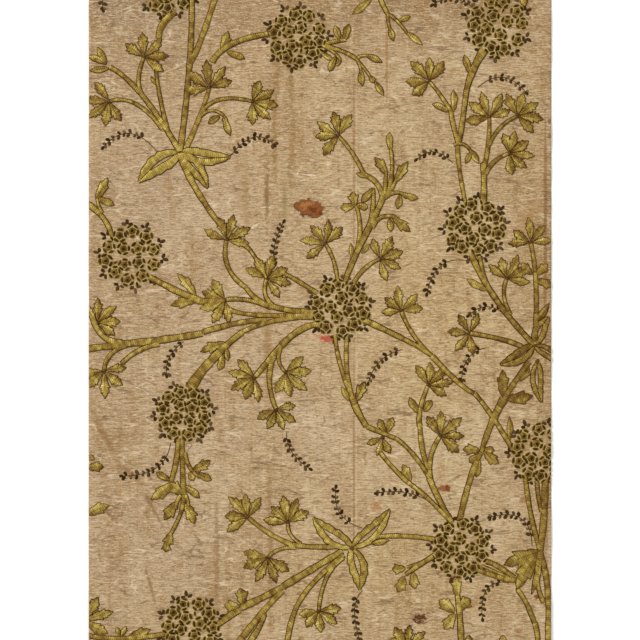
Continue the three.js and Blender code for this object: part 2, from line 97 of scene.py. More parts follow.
# Stems: from, through and to, with the width at each end
STEMS = table("x0 y0 xm ym x1 y1 w0 w1", [
    (-108, 129, -133, 168, -158, 190, 5, 4), (-118, 143, -138, 162, -157, 165, 4, 3),
    (-133, 168, -136, 181, -133, 196, 4, 3), (-113, 138, -119, 162, -123, 187, 4, 3),
    (-104, 128, -98, 190, -104, 246, 5, 4.5), (-98, 192, -89, 211, -78, 244, 4.5, 4.5),
    (-100, 130, -90, 153, -82, 172, 4.5, 3), (-90, 153, -76, 165, -52, 165, 3.5, 3),
    (-92, 150, -82, 157, -72, 153, 3.2, 2.6), (-81, 193, -66, 207, -38, 215, 5, 4.5),
    (-121, 211, -118, 222, -109, 234, 5, 6), (-106, 124, -94, 100, -71, 66, 6, 4),
    (-156, 63, -163, 77, -176, 88, 4, 5.5), (-163, 80, -166, 86, -167, 92, 3.4, 2.6),
    (-125, 29, -110, 23, -92, 15, 4.5, 6), (-92, 15, -84, 14, -74, 14, 6, 4), (-71, 58, -69, 40, -55, 24, 3.6, 4.2),
    (-55, 24, -38, 11, -10, 5, 4.2, 5), (-69, 16, -55, 15, -36, 9, 3.6, 4), (-68, 9, -50, 4, -10, 2, 3.6, 4.4),
    (-58, 57, -50, 49, -42, 34, 3.6, 3), (-41, 27, -41, 19, -35, 11, 3.2, 3.8), (-29, 36, -18, 30, -5, 22, 3.6, 4),
    (19, 30, 25, 45, 38, 72, 4.4, 5.4), (38, 72, 43, 82, 48, 94, 5, 5), (28, 52, 30, 70, 27, 86, 4.4, 3),
    (34, 64, 39, 80, 40, 98, 4, 3.4), (47, 93, 42, 103, 33, 109, 5, 4), (33, 109, 25, 124, 14, 138, 4, 3),
    (49, 94, 49, 103, 50, 112, 3.8, 3), (51, 94, 54, 112, 53, 128, 4, 3), (50, 92, 54, 99, 58, 107, 4, 3),
    (48, 91, 54, 95, 62, 95, 4, 3.2), (39, 69, 46, 77, 57, 77, 4, 3.4), (27, 31, 33, 38, 45, 46, 4, 3.4),
    (13, 33, 10, 45, 4, 57, 3.4, 3.2), (4, 206, 12, 209, 20, 210, 4, 3), (8, 204, 18, 201, 28, 195, 4, 3.4),
    (28, 196, 31, 198, 36, 198, 3, 2.4), (27, 196, 33, 189, 38, 182, 3, 2.4), (28, 194, 30, 190, 31, 184, 2.8, 2.2),
    (10, 203, 14, 197, 12, 191, 3, 2.6), (43, 247, 47, 237, 51, 229, 4, 4), (51, 230, 51, 224, 53, 217, 3, 2.4),
    (52, 229, 59, 223, 66, 214, 3.2, 2.6), (122, 201, 113, 183, 109, 165, 7, 4.2),
    (109, 166, 107, 150, 104, 131, 4.4, 4.2), (104, 131, 100, 146, 98, 157, 4.2, 4),
    (98, 157, 90, 169, 82, 179, 3.6, 3), (100, 131, 109, 131, 115, 122, 3.2, 2.6),
    (103, 131, 105, 110, 109, 88, 3.8, 3.2), (123, 90, 123, 104, 122, 118, 5.4, 4.4),
    (122, 112, 126, 130, 127, 151, 4.4, 3), (127, 131, 135, 144, 148, 153, 3.6, 3),
    (124, 109, 131, 119, 142, 125, 4.2, 3.2), (113, 46, 133, 14, 159, -18, 5, 4.6),
    (120, 44, 123, 34, 128, 23, 3.4, 3), (139, 28, 138, 18, 143, 4, 3, 3.4), (158, 54, 162, 25, 160, -16, 3.4, 4.4),
    (0, -3, -14, -7, -29, -19, 5, 5.4), (-29, -19, -40, -32, -49, -43, 5.4, 4),
    (-34, -26, -38, -45, -34, -66, 4.6, 3.4), (-29, -20, -31, -30, -26, -39, 3.6, 3),
    (-12, 0, -36, -1, -58, -9, 4.4, 4), (-58, -9, -69, -18, -82, -31, 4.4, 7), (-82, -31, -90, -40, -97, -50, 7, 8.5),
    (-40, 0, -60, -2, -88, -9, 4, 5), (-88, -10, -120, -15, -150, -18, 5.4, 6),
    (-150, -19, -162, -20, -176, -22, 5.4, 5.4), (-148, -17, -163, -12, -171, 4, 5.4, 4.6),
    (-145, -19, -157, -26, -163, -37, 4.2, 3.6), (-120, -18, -136, -23, -149, -33, 4.2, 3.8),
    (-107, -92, -108, -106, -112, -122, 4.2, 4.2), (-104, -97, -103, -115, -102, -132, 4, 4.4),
    (-101, -99, -98, -110, -90, -118, 3.4, 3.4), (-102, -131, -105, -146, -113, -162, 4, 3),
    (-104, -131, -107, -136, -108, -142, 3.6, 3), (-101, -131, -99, -137, -99, -143, 3.4, 2.8),
    (11, -12, 15, -33, 24, -58, 3.4, 3.8), (21, -12, 20, -35, 24, -58, 3.4, 4), (24, -57, 28, -68, 35, -80, 6, 4.8),
    (35, -80, 45, -84, 57, -89, 4.4, 3.6), (57, -89, 70, -101, 83, -120, 3.6, 4),
    (45, -99, 54, -110, 66, -122, 3.6, 3.8), (66, -122, 80, -133, 97, -146, 3.8, 3.8),
    (82, -118, 88, -132, 97, -146, 5.4, 4), (37, -2, 50, -8, 70, -18, 5.4, 4), (70, -18, 77, -22, 84, -27, 4, 4),
    (62, 3, 70, -11, 84, -27, 3.4, 3.6), (84, -27, 104, -47, 116, -55, 4.8, 4),
    (116, -55, 131, -75, 149, -99, 4, 4.2), (80, -51, 75, -68, 75, -80, 3.2, 4.4),
    (75, -80, 77, -98, 82, -112, 4, 4.6), (88, -90, 83, -103, 83, -119, 3.4, 4.4),
    (115, -10, 134, -14, 152, -20, 3.8, 4.2), (157, -31, 147, -45, 138, -59, 4.4, 4.4),
    (138, -59, 128, -79, 121, -99, 7, 3.8), (121, -99, 113, -118, 104, -146, 4.4, 5),
    (153, -118, 158, -145, 164, -172, 4, 4), (169, -120, 168, -146, 168, -172, 5.4, 5.4),
    (162, -124, 164, -134, 166, -144, 3.6, 3.2), (148, -202, 155, -213, 161, -228, 4, 4.4),
    (161, -227, 163, -236, 163, -246, 4.4, 4.6), (167, -178, 171, -205, 171, -246, 4.4, 6),
    (164, -178, 163, -195, 168, -212, 4, 3.8), (121, -179, 134, -185, 146, -193.5, 4, 4.6),
    (122, -185, 131, -188.5, 142, -193, 2.6, 2.6), (120, -190, 134, -192.8, 147, -195, 3.6, 5),
    (40, -163, 62, -162, 88, -165, 3.8, 4.2), (84, -177, 74, -184, 64, -191, 5, 3.4),
    (81, -179, 73, -183, 65, -185, 3.4, 2.8), (103, -206, 105, -224, 106, -246, 4.6, 5.2),
    (14, -170, -6, -170, -24, -168, 3.8, 4.4), (-22, -168, -38, -160, -52, -148, 4.2, 3.8),
    (-14, -168, -22, -161, -24, -152, 3.2, 3), (-18, -171, -30, -172, -38, -178, 3.4, 3),
    (17, -173, -8, -188, -28, -200, 5, 6), (-28, -200, -43, -208, -60, -216, 4.8, 6),
    (-60, -217, -68, -222, -78, -229, 6, 4.8), (-28, -203, -43, -219, -62, -243, 4.4, 5.6),
    (-42, -220, -45, -229, -55, -245, 4, 5.6), (18, -176, -4, -196, -17, -214, 4, 4),
    (-17, -214, -22, -228, -25, -246, 4, 5), (18, -178, 5, -193, -1, -216, 4, 3),
    (-176, -236, -150, -239, -118, -236, 4, 4.4),
])

# Palmate leaves: hub, direction of the middle lobe, lobe length, spread and lobes
PALMS = table("x y aim size spread lobes", [
    (-158, 164, 214, 17, 172, 5), (-132, 197, 52, 17, 180, 5), (-83, 174, 99, 18, 170, 5), (-51, 164, -9, 18, 154, 5),
    (14, 138, 143, 18, 174, 5), (82, 179, 135, 18, 167, 5), (127, 152, 104, 18, 164, 5), (148, 153, 35, 18, 156, 5),
    (142, 125, 15, 17, 190, 6), (-70, 60, 72, 18, 163, 5), (-71, 15, 200, 18, 156, 5), (4, 57, 130, 17, 176, 5),
    (45, 46, 19, 17, 180, 5), (-40, 31, 51, 17, 212, 6), (61, 7, 95, 16, 185, 5), (140, 31, 66, 17, 150, 5),
    (158, 58, 96, 16, 175, 5), (-167, -2, 45, 17, 160, 5), (-162, -38, 275, 18, 180, 5), (-49, -43, 206, 18, 148, 5),
    (-26, -39, -37, 18, 153, 5), (-33, -67, -70, 16, 163, 5), (50, -86, 93, 14, 46, 2), (47, -88, 248, 13, 92, 3),
    (81, -49, 46, 17, 154, 5), (90, -87, 44, 18, 166, 5), (112, -10, 178, 16, 216, 5), (-54, -148, 137, 18, 160, 5),
    (-24, -152, 102, 18, 150, 5), (-39, -178, 245, 18, 156, 5), (-1, -218, -80, 16, 182, 5),
    (66, -246, 100, 17, 110, 4), (-177, -225, 16, 20, 84, 3), (-150, -239, 85, 10, 46, 2),
])

# Single leaves and long buds: stalk end, tip and width
BLADES = table("x0 y0 x1 y1 width", [
    (-158, 189, -173, 187, 5), (-160, 192, -175, 198, 5), (-160, 193, -167, 205, 5), (-72, 154, -67, 138, 5.5),
    (-75, 153, -84, 147, 5), (-74, 202, -69, 217, 6.5), (-70, 201, -56, 196, 6), (-123, 176, -127, 183, 2.6),
    (18, 209, 22, 222, 6), (15, 210, 11, 221, 5), (12, 198, 7, 186, 5.5), (1, 200, 10, 195, 4), (34, 199, 47, 193, 5),
    (37, 183, 41, 178, 4.5), (41, 179, 48, 168, 4.6), (31, 188, 32, 175, 5), (39, 242, 24, 229, 6),
    (52, 220, 55, 209, 4.6), (65, 216, 77, 206, 4.8), (59, 224, 68, 228, 4), (53, 127, 52, 141, 5.5),
    (50, 109, 41, 122, 7), (36, 107, 27, 110, 4), (56, 103, 66, 119, 7), (60, 95, 74, 91, 5.5), (60, 94, 58, 83, 5),
    (54, 78, 68, 66, 7), (52, 76, 53, 66, 5), (24, 46, 23, 58, 3.4), (31, 50, 37, 57, 3.4), (41, 99, 31, 88, 6),
    (26, 86, 15, 84, 6.5), (26, 85, 24, 96, 7), (27, 86, 36, 84, 6), (113, 184, 108, 199, 5.5),
    (100, 156, 100, 173, 5.5), (97, 156, 84, 162, 5.5), (113, 128, 119, 117, 5), (113, 126, 109, 117, 4),
    (-168, 90, -159, 107, 7), (-167, 91, -154, 86, 6), (-93, 18, -107, 35, 7), (-93, 14, -112, 11, 7),
    (126, 22, 110, 31, 6), (159, 34, 151, 43, 7), (162, 34, 171, 42, 6.5), (162, 30, 175, 25, 6.5),
    (161, -2, 172, 13, 5), (-70, -17, -90, -24, 7), (-73, -26, -76, -38, 6), (-70, -21, -69, -31, 4),
    (-96, -113, -82, -105, 7), (-93, -115, -81, -120, 6), (-98, -114, -95, -121, 5), (-112, -120, -123, -114, 5.5),
    (-109, -122, -127, -135, 8.5), (-103, -124, -90, -134, 6), (-107, -136, -117, -150, 8),
    (-101, -137, -94, -153, 8), (-103, -131, -113, -122, 9), (-112, -160, -115, -169, 7.5),
    (-115, -166, -116, -174, 6.5), (-175, -111, -162, -110, 7), (-175, -102, -169, -104, 4),
    (-175, -146, -158, -139, 8), (22, -61, 16, -50, 4.6), (27, -61, 34, -46, 7), (75, -70, 67, -58, 6),
    (78, -69, 84, -60, 5.5), (142, -91, 142, -72, 4.5), (68, -121, 62, -108, 6.5), (137, -58, 137, -37, 8),
    (139, -59, 160, -57, 9), (148, -46, 157, -35, 6.5), (120, -98, 107, -97, 7), (123, -98, 134, -108, 8),
    (123, -97, 131, -98, 5), (119, -101, 112, -107, 6), (119, -104, 117, -118, 5.5), (63, -192, 58, -204, 8),
    (70, -189, 71, -202, 7), (64, -186, 54, -187, 7), (103, -208, 101, -192, 7), (101, -219, 89, -210, 9),
    (103, -217, 113, -209, 9), (101, -220, 93, -232, 8.5), (-144, -238, -127, -232, 7), (-60, -215, -72, -214, 8),
    (-58, -214, -60, -201, 8.5), (38, -168, 52, -165, 4.5), (111, -248, 112, -236, 6), (137, -248, 137, -236, 6),
    (150, 246, 154, 235, 6), (165, -173, 137.5, -184, 11.3), (165, -173, 147, -203, 11),
    (165, -173, 158.5, -206, 5.6),
])

# Open leaves: base, tip, width and the width of the slit of bare cloth
BRACTS = table("x0 y0 x1 y1 width slit", [
    (-105, 126, -67, 121, 12.3, 1.6), (-105, 126, -137, 104.5, 15, 2.4), (-105, 126, -83, 99.5, 11.6, 1.4),
    (161, -19, 135.5, -34.4, 11, 1.2), (163, -31, 165, -62, 9.5, 2.4), (161, -19, 171, 3, 10, 2.6),
    (161, -19, 182, -33, 9, 1.8), (24, -171, -6, -149.5, 13.4, 4.2), (24, -171, 53.5, -143, 12, 3.2),
    (24, -171, 31, -202, 13.8, 3.8),
])

# Where leaves spread from and stems run into
HUBS = [(row.x, row.y) for row in PALMS] + [(row.x0, row.y0) for row in (*BRACTS, BLADES[-1])]

# Round flower heads: middle and radius
HEADS = table("x y r", [
    (-114, 251, 20), (-17, 212, 20), (133, 221, 21), (-142, 48, 21), (116, 69, 20), (15, 9, 20), (-102, -70, 19),
    (165, -100, 20), (106, -171, 20), (-97, -230, 20),
])

# Dark sprigs: stalk end, through and tip, with the share of the stalk that is bare
SPRIGS = table("x0 y0 xm ym x1 y1 bare", [
    (-122, 126, -143, 140, -163, 129, 0.3), (-68, 122, -50, 137, -34, 131, 0.12),
    (118, 174, 137, 182, 155, 170, 0.22), (100, 117, 86, 126, 72, 120, 0.16), (116, 233, 100, 241, 84, 236, 0.12),
    (-34, 38, -34, 56, -27, 74, 0.05), (112, 44, 91, 41, 80, 19, 0.35), (137, 5, 124, 10, 111, 3, 0.12),
    (-102, -16, -113, -28, -115, -42, 0.05), (-112, -92, -123, -111, -149, -117, 0.2),
    (-25, -84, -21, -99, -7, -112, 0.1), (62, -22, 45, -31, 36, -48, 0.08), (124, -21, 111, -29, 106, -46, 0.12),
    (32, -156, 15, -145, 12, -125, 0.25), (80, -135, 62, -129, 42, -130, 0.15),
    (159, -170, 151, -149, 127, -148, 0.15), (142, -197, 125, -202, 122, -225, 0.15),
    (32, -203, 26, -217, 30, -241, 0.15), (-162.8, 241, -163, 237, -162.5, 232, 0.15),
])

# Pressed creases: from and to, with the width of the soft ridge
CREASES = table("x0 y0 x1 y1 width", [
    (25.5, 236, 25.5, -236, 2.4), (50, 236, 51, 160, 3), (-39, 236, -41, 70, 4), (-21, 236, -27, 150, 4),
    (-36, -88, -39, -236, 4), (-78, -128, -77, -205, 4), (169, 150, 169, -40, 3), (-171, -74, -151, -109, 3),
    (-150, -109, -126, -139, 3), (-126, -140, -121, -158, 3), (-132, -184, -124, -216, 3),
])

# Broad washes where the silk has aged browner or greyer: middle, half length, half width, turn, strength and colour
WASHES = table("x y long wide turn strength red green blue", [
    (178, 40, 230, 40, 90, 0.85, 154, 120, 70), (60, 240, 170, 36, 0, 0.95, 144, 110, 72),
    (-150, 240, 80, 34, 0, 0.95, 126, 102, 78), (-130, 200, 84, 52, 0, 0.65, 154, 126, 96),
    (68, 206, 54, 16, 4, 0.5, 148, 114, 74), (84, -8, 90, 70, 90, 0.5, 190, 158, 100),
    (70, -190, 110, 46, 0, 0.6, 178, 146, 92), (88, -94, 58, 50, 90, 0.5, 198, 174, 130),
    (60, 110, 60, 60, 0, 0.35, 188, 162, 116), (-118, 104, 84, 60, 0, 0.5, 182, 156, 132),
    (-100, -40, 150, 84, 90, 0.35, 180, 153, 126), (-128, -172, 70, 50, 0, 0.4, 182, 154, 128),
    (-30, 150, 84, 30, 90, 0.45, 156, 118, 76), (-36, -140, 66, 20, 90, 0.3, 156, 122, 80),
    (2, -84, 34, 34, 0, 0.45, 198, 172, 140), (-72, -202, 34, 30, 0, 0.6, 148, 116, 78),
    (-120, 28, 34, 30, 0, 0.4, 156, 124, 88), (-60, 225, 40, 26, 0, 0.45, 146, 114, 80),
    (-164, -96, 30, 26, 90, 0.4, 156, 124, 88), (-182, -10, 300, 84, 90, 0.65, 158, 128, 94),
])

# Stains, darker lines along the creases, and painted highlight and shade lines: middle, half length, half width,
# turn, how ragged, soft and strong, and the colour
STAINS_AND_LIGHT_LINES = table("x y long wide turn ragged soft strength red green blue", [
    (-8, 84, 12.2, 7.4, -8, 0.7, 0.22, 0.95, 88, 44, 10), (-7.2, 84.4, 10.6, 6.0, -8, 0.9, 0.3, 0.92, 138, 80, 34),
    (-10.5, 86, 6, 3.4, 20, 1.6, 0.7, 0.75, 176, 118, 66), (-4, 82.5, 8, 2.2, -24, 1.8, 0.6, 0.8, 92, 44, 12),
    (4, -13.4, 10, 3.6, -10, 1.2, 0.8, 0.6, 184, 104, 74), (6, -14.2, 6.8, 2.7, -14, 1.1, 0.6, 0.85, 170, 66, 44),
    (75, -224, 7.4, 4.4, 20, 1.5, 0.7, 1.0, 80, 40, 6), (93, -126, 5.4, 3.0, 10, 0.9, 0.5, 0.95, 136, 76, 36),
    (96, -126, 2.4, 2.6, 0, 0.8, 0.4, 0.9, 110, 50, 22), (115, -214, 5.8, 2.8, 12, 0.9, 0.8, 0.7, 164, 114, 58),
    (42, -140, 5.2, 4.0, 0, 0.9, 0.7, 0.65, 162, 108, 54), (152, -135, 3, 4, 0, 0.8, 0.7, 0.7, 142, 94, 48),
    (149, -233, 3.0, 3.0, 0, 0.8, 0.7, 0.75, 140, 88, 46), (164, -207, 3.6, 2.4, 20, 0.8, 0.5, 0.95, 116, 56, 22),
    # The pale rows at (-10, 109), (-7, 106), (-40, 84.5) and (-48, 71) are painted highlights on small wrinkles
    (69, -149, 2.2, 1.2, 0, 0.5, 0.5, 0.7, 114, 72, 36), (-10, 109, 9, 0.6, -8, 2.6, 0.7, 0.75, 228, 210, 182),
    (-7, 106, 10, 0.55, 12, 2.6, 0.7, 0.6, 224, 204, 174), (-40, 84.5, 4.5, 0.8, 0, 1.2, 0.6, 0.8, 232, 214, 184),
    (-48, 71, 4.5, 1.2, 30, 1.2, 0.6, 0.6, 228, 210, 184), (113, -82, 1.8, 1, 20, 0.5, 0.5, 0.6, 112, 76, 42),
    (104, -117, 2.8, 0.9, 20, 0.5, 0.5, 0.7, 98, 62, 32), (104, -98, 2.2, 0.9, 60, 0.5, 0.5, 0.6, 104, 68, 36),
    (34, -101, 2.6, 0.8, 80, 0.5, 0.5, 0.5, 108, 72, 38), (172, 149, 1.8, 2.6, 0, 0.6, 0.5, 0.6, 90, 58, 34),
    (172, 138, 1.8, 2.2, 0, 0.6, 0.5, 0.6, 90, 58, 34), (157, 74, 17, 10, 60, 1.2, 0.9, 0.35, 156, 110, 54),
    # At the crease at x 25.5: painted shade on its left side, and on the next line a painted highlight on its right
    # side
    (25.3, 120, 122, 0.9, 90, 0.7, 0.6, 0.5, 144, 104, 54), (25.3, -120, 122, 0.9, 90, 0.7, 0.6, 0.6, 140, 100, 52),
    (27.2, 0, 240, 0.8, 90, 0.4, 0.5, 0.4, 212, 188, 146), (50, 198, 46, 1.6, 90, 0.8, 0.7, 0.6, 144, 104, 56),
    # From here to the end, and (50, 198) above, darker lines, mostly along the creases
    (-34, 142, 50, 2.6, 91, 1.3, 0.9, 0.75, 138, 102, 52), (-33, 196, 50, 3.6, 92, 1.2, 0.9, 0.65, 140, 104, 54),
    (-21, 128, 36, 3.0, 87, 1.3, 0.9, 0.65, 144, 108, 58), (-22, 196, 54, 3.4, 91, 1.2, 0.9, 0.7, 134, 100, 52),
    (-39.8, 92, 38, 2.2, 90, 1.3, 0.9, 0.8, 126, 94, 50), (-56, 100, 44, 4.0, 90, 1.0, 0.9, 0.45, 150, 116, 68),
    (-26.5, 84, 26, 2.8, 90, 1.0, 0.9, 0.6, 138, 118, 72), (-37.5, -162, 84, 3.0, 91, 1.3, 0.9, 0.7, 134, 100, 54),
    (-39.5, -20, 66, 3.8, 91, 1.0, 0.9, 0.6, 146, 108, 56), (-77.5, -180, 66, 3.2, 90, 1.3, 0.9, 0.65, 134, 102, 58),
    (169, 60, 120, 1.6, 90, 0.5, 0.5, 0.6, 116, 76, 40), (170, -150, 96, 1.4, 90, 0.6, 0.5, 0.45, 120, 82, 46),
    (-162, -86, 26, 3.6, 118, 1.0, 0.9, 0.8, 140, 104, 62), (-143, -114, 17, 3.0, 140, 1.0, 0.9, 0.75, 140, 104, 62),
    (-125, -142, 20, 2.2, 118, 1.0, 0.9, 0.85, 134, 100, 60), (-150, -84, 20, 2.2, 84, 1.0, 0.9, 0.5, 146, 110, 70),
    (-127, -200, 20, 1.8, 106, 1.0, 0.8, 0.65, 132, 98, 60),
])

# Where the gold is more tarnished: middle, half width and half length, and how much
TARNISH = table("x y wide long amount", [
    (155, -25, 45, 45, 0.16), (160, -130, 40, 60, 0.1), (-120, 190, 50, 40, 0.1), (140, 150, 40, 50, 0.06),
    (-90, -110, 50, 40, 0.06), (100, -215, 30, 30, -0.06), (25, -165, 60, 30, -0.08), (-95, 125, 40, 25, -0.08),
])


# Shapes in the plane

Line = namedtuple("Line", "points way side run")


def line_of(points):
    """A path with its direction, its left side and the distance run at each point"""
    gaps = np.linalg.norm(np.diff(points, axis=0), axis=1)
    way = np.gradient(points, axis=0)
    way /= np.maximum(np.linalg.norm(way, axis=1, keepdims=True), 1e-9)
    side = np.stack([-way[:, 1], way[:, 0]], axis=1)
    return Line(points, way, side, np.concatenate([[0.0], np.cumsum(gaps)]))


def evenly(points, step):
    """The same path with its points about step apart"""
    run = line_of(points).run
    places = np.linspace(0, run[-1], max(3, round(run[-1] / step) + 1))
    return line_of(np.stack([np.interp(places, run, points[:, k]) for k in (0, 1)], axis=1))


def arc_through(row, step):
    """The curve that runs from one end through the middle point to the other end"""
    start, middle, end = (np.array(p, float) for p in ((row.x0, row.y0), (row.xm, row.ym), (row.x1, row.y1)))
    control = 2 * middle - (start + end) / 2
    t = np.linspace(0, 1, 120)[:, None]
    return evenly((1 - t) ** 2 * start + 2 * t * (1 - t) * control + t ** 2 * end, step)


def polar(angle, radius):
    return np.array([radius * math.cos(angle), radius * math.sin(angle)])


def blend(low, high, share):
    return low + (high - low) * share


def spread_over(grid, side):
    """Places out along a side, for each row and column of a grid"""
    return side[:, None] * grid[..., None]


def waves(seed, count, across, along):
    """A smooth uneven field over the plane, mostly from -1 to 1, with wave lengths across Y and along X"""
    draw = np.random.default_rng([SEED, seed])
    turn_x = 2 * math.pi / draw.uniform(*along, count) * draw.choice([-1, 1], count)
    turn_y = 2 * math.pi / draw.uniform(*across, count)
    phase = draw.uniform(0, 2 * math.pi, count)

    def field(x, y):
        total = np.zeros(np.broadcast(x, y).shape)
        for a, b, c in zip(turn_x, turn_y, phase):
            total += np.sin(a * x + b * y + c)
        return total / math.sqrt(count)

    return field


cockles = waves(1, COCKLE.count, COCKLE.lengths, COCKLE.lengths)
crinkles = waves(2, CRINKLE.count, CRINKLE.across, CRINKLE.along)
patches = waves(3, PATCH.count, PATCH.lengths, PATCH.lengths)
grain = waves(4, GRAIN.count, GRAIN.lengths, GRAIN.lengths)


def gold_wear(x, y):
    """How much brighter or more tarnished the gold is at a place"""
    shift = PATCH.amount * patches(x, y) + GRAIN.amount * grain(x, y)
    for row in TARNISH:
        shift = shift - row.amount * np.exp(-((x - row.x) / row.wide) ** 2 - ((y - row.y) / row.long) ** 2)
    return shift


def crease_height(row, rank, x, y):
    """A soft ridge that wanders a little and fades at both ends"""
    dx, dy = row.x1 - row.x0, row.y1 - row.y0
    length = math.hypot(dx, dy)
    along = ((x - row.x0) * dx + (y - row.y0) * dy) / length
    off = ((y - row.y0) * dx - (x - row.x0) * dy) / length
    long_wave, short_wave = CREASE.waves
    off = off + CREASE.wander * np.sin(along / long_wave + rank) * np.sin(along / short_wave + 2 * rank)
    fade = np.clip(np.minimum(along, length - along) / CREASE.fade, 0, 1)
    wave, shift, share = CREASE.swell
    varied = 1 - share + share * np.sin(along / wave + shift * rank)
    return CREASE.high * varied * fade * np.exp(-(off / (row.width / 2)) ** 2)


def relief(x, y):
    """Height of the silk's face above its even level, with its cockles, creases and thin cut edge"""
    high = COCKLE.high * cockles(x, y) + CRINKLE.high * crinkles(x, y)
    for rank, row in enumerate(CREASES):
        high = high + crease_height(row, rank, x, y)
    inside = np.minimum(CLOTH.wide / 2 - np.abs(x), CLOTH.long / 2 - np.abs(y))
    return high - SHEET.edge_drop * np.clip(1 - inside / SHEET.edge_reach, 0, 1) ** 2


# Gathering small forms into one mesh

def add_object(name, data):
    """A new object in the scene"""
    made = bpy.data.objects.new(name, data)
    bpy.context.collection.objects.link(made)
    return made


def quads(index):
    """The four-sided faces between the rows and columns of a grid of point numbers"""
    return np.stack([index[:-1, :-1], index[:-1, 1:], index[1:, 1:], index[1:, :-1]], axis=-1)


def finish_mesh(name, points, faces, material):
    """One object of the given points in millimetres, riding on the cloth's body"""
    mesh = bpy.data.meshes.new(name)
    mesh.from_pydata((np.asarray(points) * MM).tolist(), [], faces)
    mesh.polygons.foreach_set("use_smooth", np.ones(len(mesh.polygons), bool))
    mesh.materials.append(material)
    piece = add_object(name, mesh)
    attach(piece, BODY)
    return piece


class Stitching:
    """Stitched forms of one kind, each a grid of points, gathered into one mesh"""

    def __init__(self):
        self.points, self.faces, self.places, self.tones = [], [], [], []
        self.count = 0

    def add(self, grid, height, tone, places):
        """grid is rows by columns of places in the plane, and height stands above the silk's face"""
        x, y = grid[..., 0], grid[..., 1]
        reach_x, reach_y = CLOTH.wide / 2 - INSIDE_EDGE, CLOTH.long / 2 - INSIDE_EDGE
        outside = (np.abs(x) > reach_x) | (np.abs(y) > reach_y)
        if outside.all():
            return
        x, y = np.clip(x, -reach_x, reach_x), np.clip(y, -reach_y, reach_y)
        height = np.where(outside, FOOT, np.broadcast_to(height, x.shape))
        z = CLOTH.thick + relief(x, y) + height
        index = self.count + np.arange(x.size).reshape(x.shape)
        lost = outside[:-1, :-1] & outside[1:, :-1] & outside[1:, 1:] & outside[:-1, 1:]
        turns = (x[1:, :-1] - x[:-1, :-1]) * (y[:-1, 1:] - y[:-1, :-1])
        turns -= (y[1:, :-1] - y[:-1, :-1]) * (x[:-1, 1:] - x[:-1, :-1])
        faces = quads(index.T).swapaxes(0, 1)[~lost]
        self.faces.append(faces if turns.sum() > 0 else faces[:, ::-1])
        self.points.append(np.stack([x, y, z], axis=-1).reshape(-1, 3))
        self.places.append(np.stack([np.broadcast_to(p, x.shape) for p in places], axis=-1).reshape(-1, 2))
        self.tones.append(np.broadcast_to(tone, x.shape).reshape(-1))
        self.count += x.size

    def piece(self, name, material, slot):
        faces = np.concatenate(self.faces)
        made = finish_mesh(name, np.concatenate(self.points), faces.tolist(), material)
        mesh = made.data
        mesh.attributes.new("tone", "FLOAT", "POINT").data.foreach_set("value", np.concatenate(self.tones))
        corners = np.empty(len(mesh.loops), np.int32)
        mesh.loops.foreach_get("vertex_index", corners)
        places = np.concatenate(self.places)[corners]
        mesh.uv_layers.new(name="stitch").data.foreach_set("uv", places.ravel())
        return made


def dome(across, edge):
    """The round back of satin stitch from one side to the other"""
    return edge + (1 - edge) * np.sqrt(np.clip(1 - np.abs(across) ** 2.4, 0, 1))


def ends_rise(distance, start):
    """How a form rises from its nearer end"""
    return np.clip(distance + start, 0, 1)


def add_cord(batch, points, wide, high, low=0.0, tone=0.5, step=CORD.step):
    """A couched cord along a path, lying low above the silk's face"""
    line = evenly(np.asarray(points, float), step)
    across = np.array(CORD.section)
    share = line.run / line.run[-1]
    taper = ends_rise(np.minimum(share, 1 - share) * line.run[-1] / wide, CORD.end)
    grid = line.points[:, None] + spread_over(taper[:, None] * across * wide / 2, line.side)
    base = np.interp(share, np.linspace(0, 1, np.size(low)), low) if np.size(low) > 1 else np.full(share.shape, low)
    height = base[:, None] + taper[:, None] * high * np.sqrt(1 - across ** 2 * 0.98)
    height[:, [0, -1]] = base[:, None] + FOOT
    batch.add(grid, height, tone, (line.run[:, None], across * wide / 2))


# The stitched forms, each piece with its thread and its material slot

PIECES = {
    "gold_stems": ("gold_satin_stitch", "gold_thread"),
    "gold_palmate_leaves": ("gold_satin_stitch", "gold_thread"),
    "gold_single_leaves": ("gold_satin_stitch", "gold_thread"),
    "gold_open_leaves": ("gold_satin_stitch", "gold_thread"),
    "rosette_petals": ("gold_satin_stitch", "gold_thread"),
    "rosette_pale_edges": ("pale_gold_cord", "gold_thread"),
    "rosette_knots": ("dark_brown_stitch", "brown_silk"),
    "stem_outlines": ("brown_outline_cord", "brown_silk"),
    "leaf_outlines": ("brown_outline_cord", "brown_silk"),
    "dark_buds": ("dark_brown_stitch", "brown_silk"),
    "sprig_stalks": ("brown_outline_cord", "brown_silk"),
    "sprig_leaflets": ("dark_brown_stitch", "brown_silk"),
}
sewn = {name: Stitching() for name in PIECES}


def reach_out(x, y):
    """Where a stem's end goes: into the leaf hub or flower head that it almost meets, or else where it is"""
    for hub in HUBS:
        if math.hypot(hub[0] - x, hub[1] - y) < STEM.snap:
            return hub
    for near in HEADS:
        away = math.hypot(x - near.x, y - near.y)
        if 0 < away < near.r + STEM.head_snap:
            share = near.r / away
            return blend(near.x, x, share), blend(near.y, y, share)
    return x, y


def stem_joints(length, draw):
    """Places along a stem where one run of stitches ends and the next begins"""
    joints = [0.0]
    while joints[-1] < length:
        joints.append(joints[-1] + draw.uniform(*STEM.joint))
    return np.array(joints)


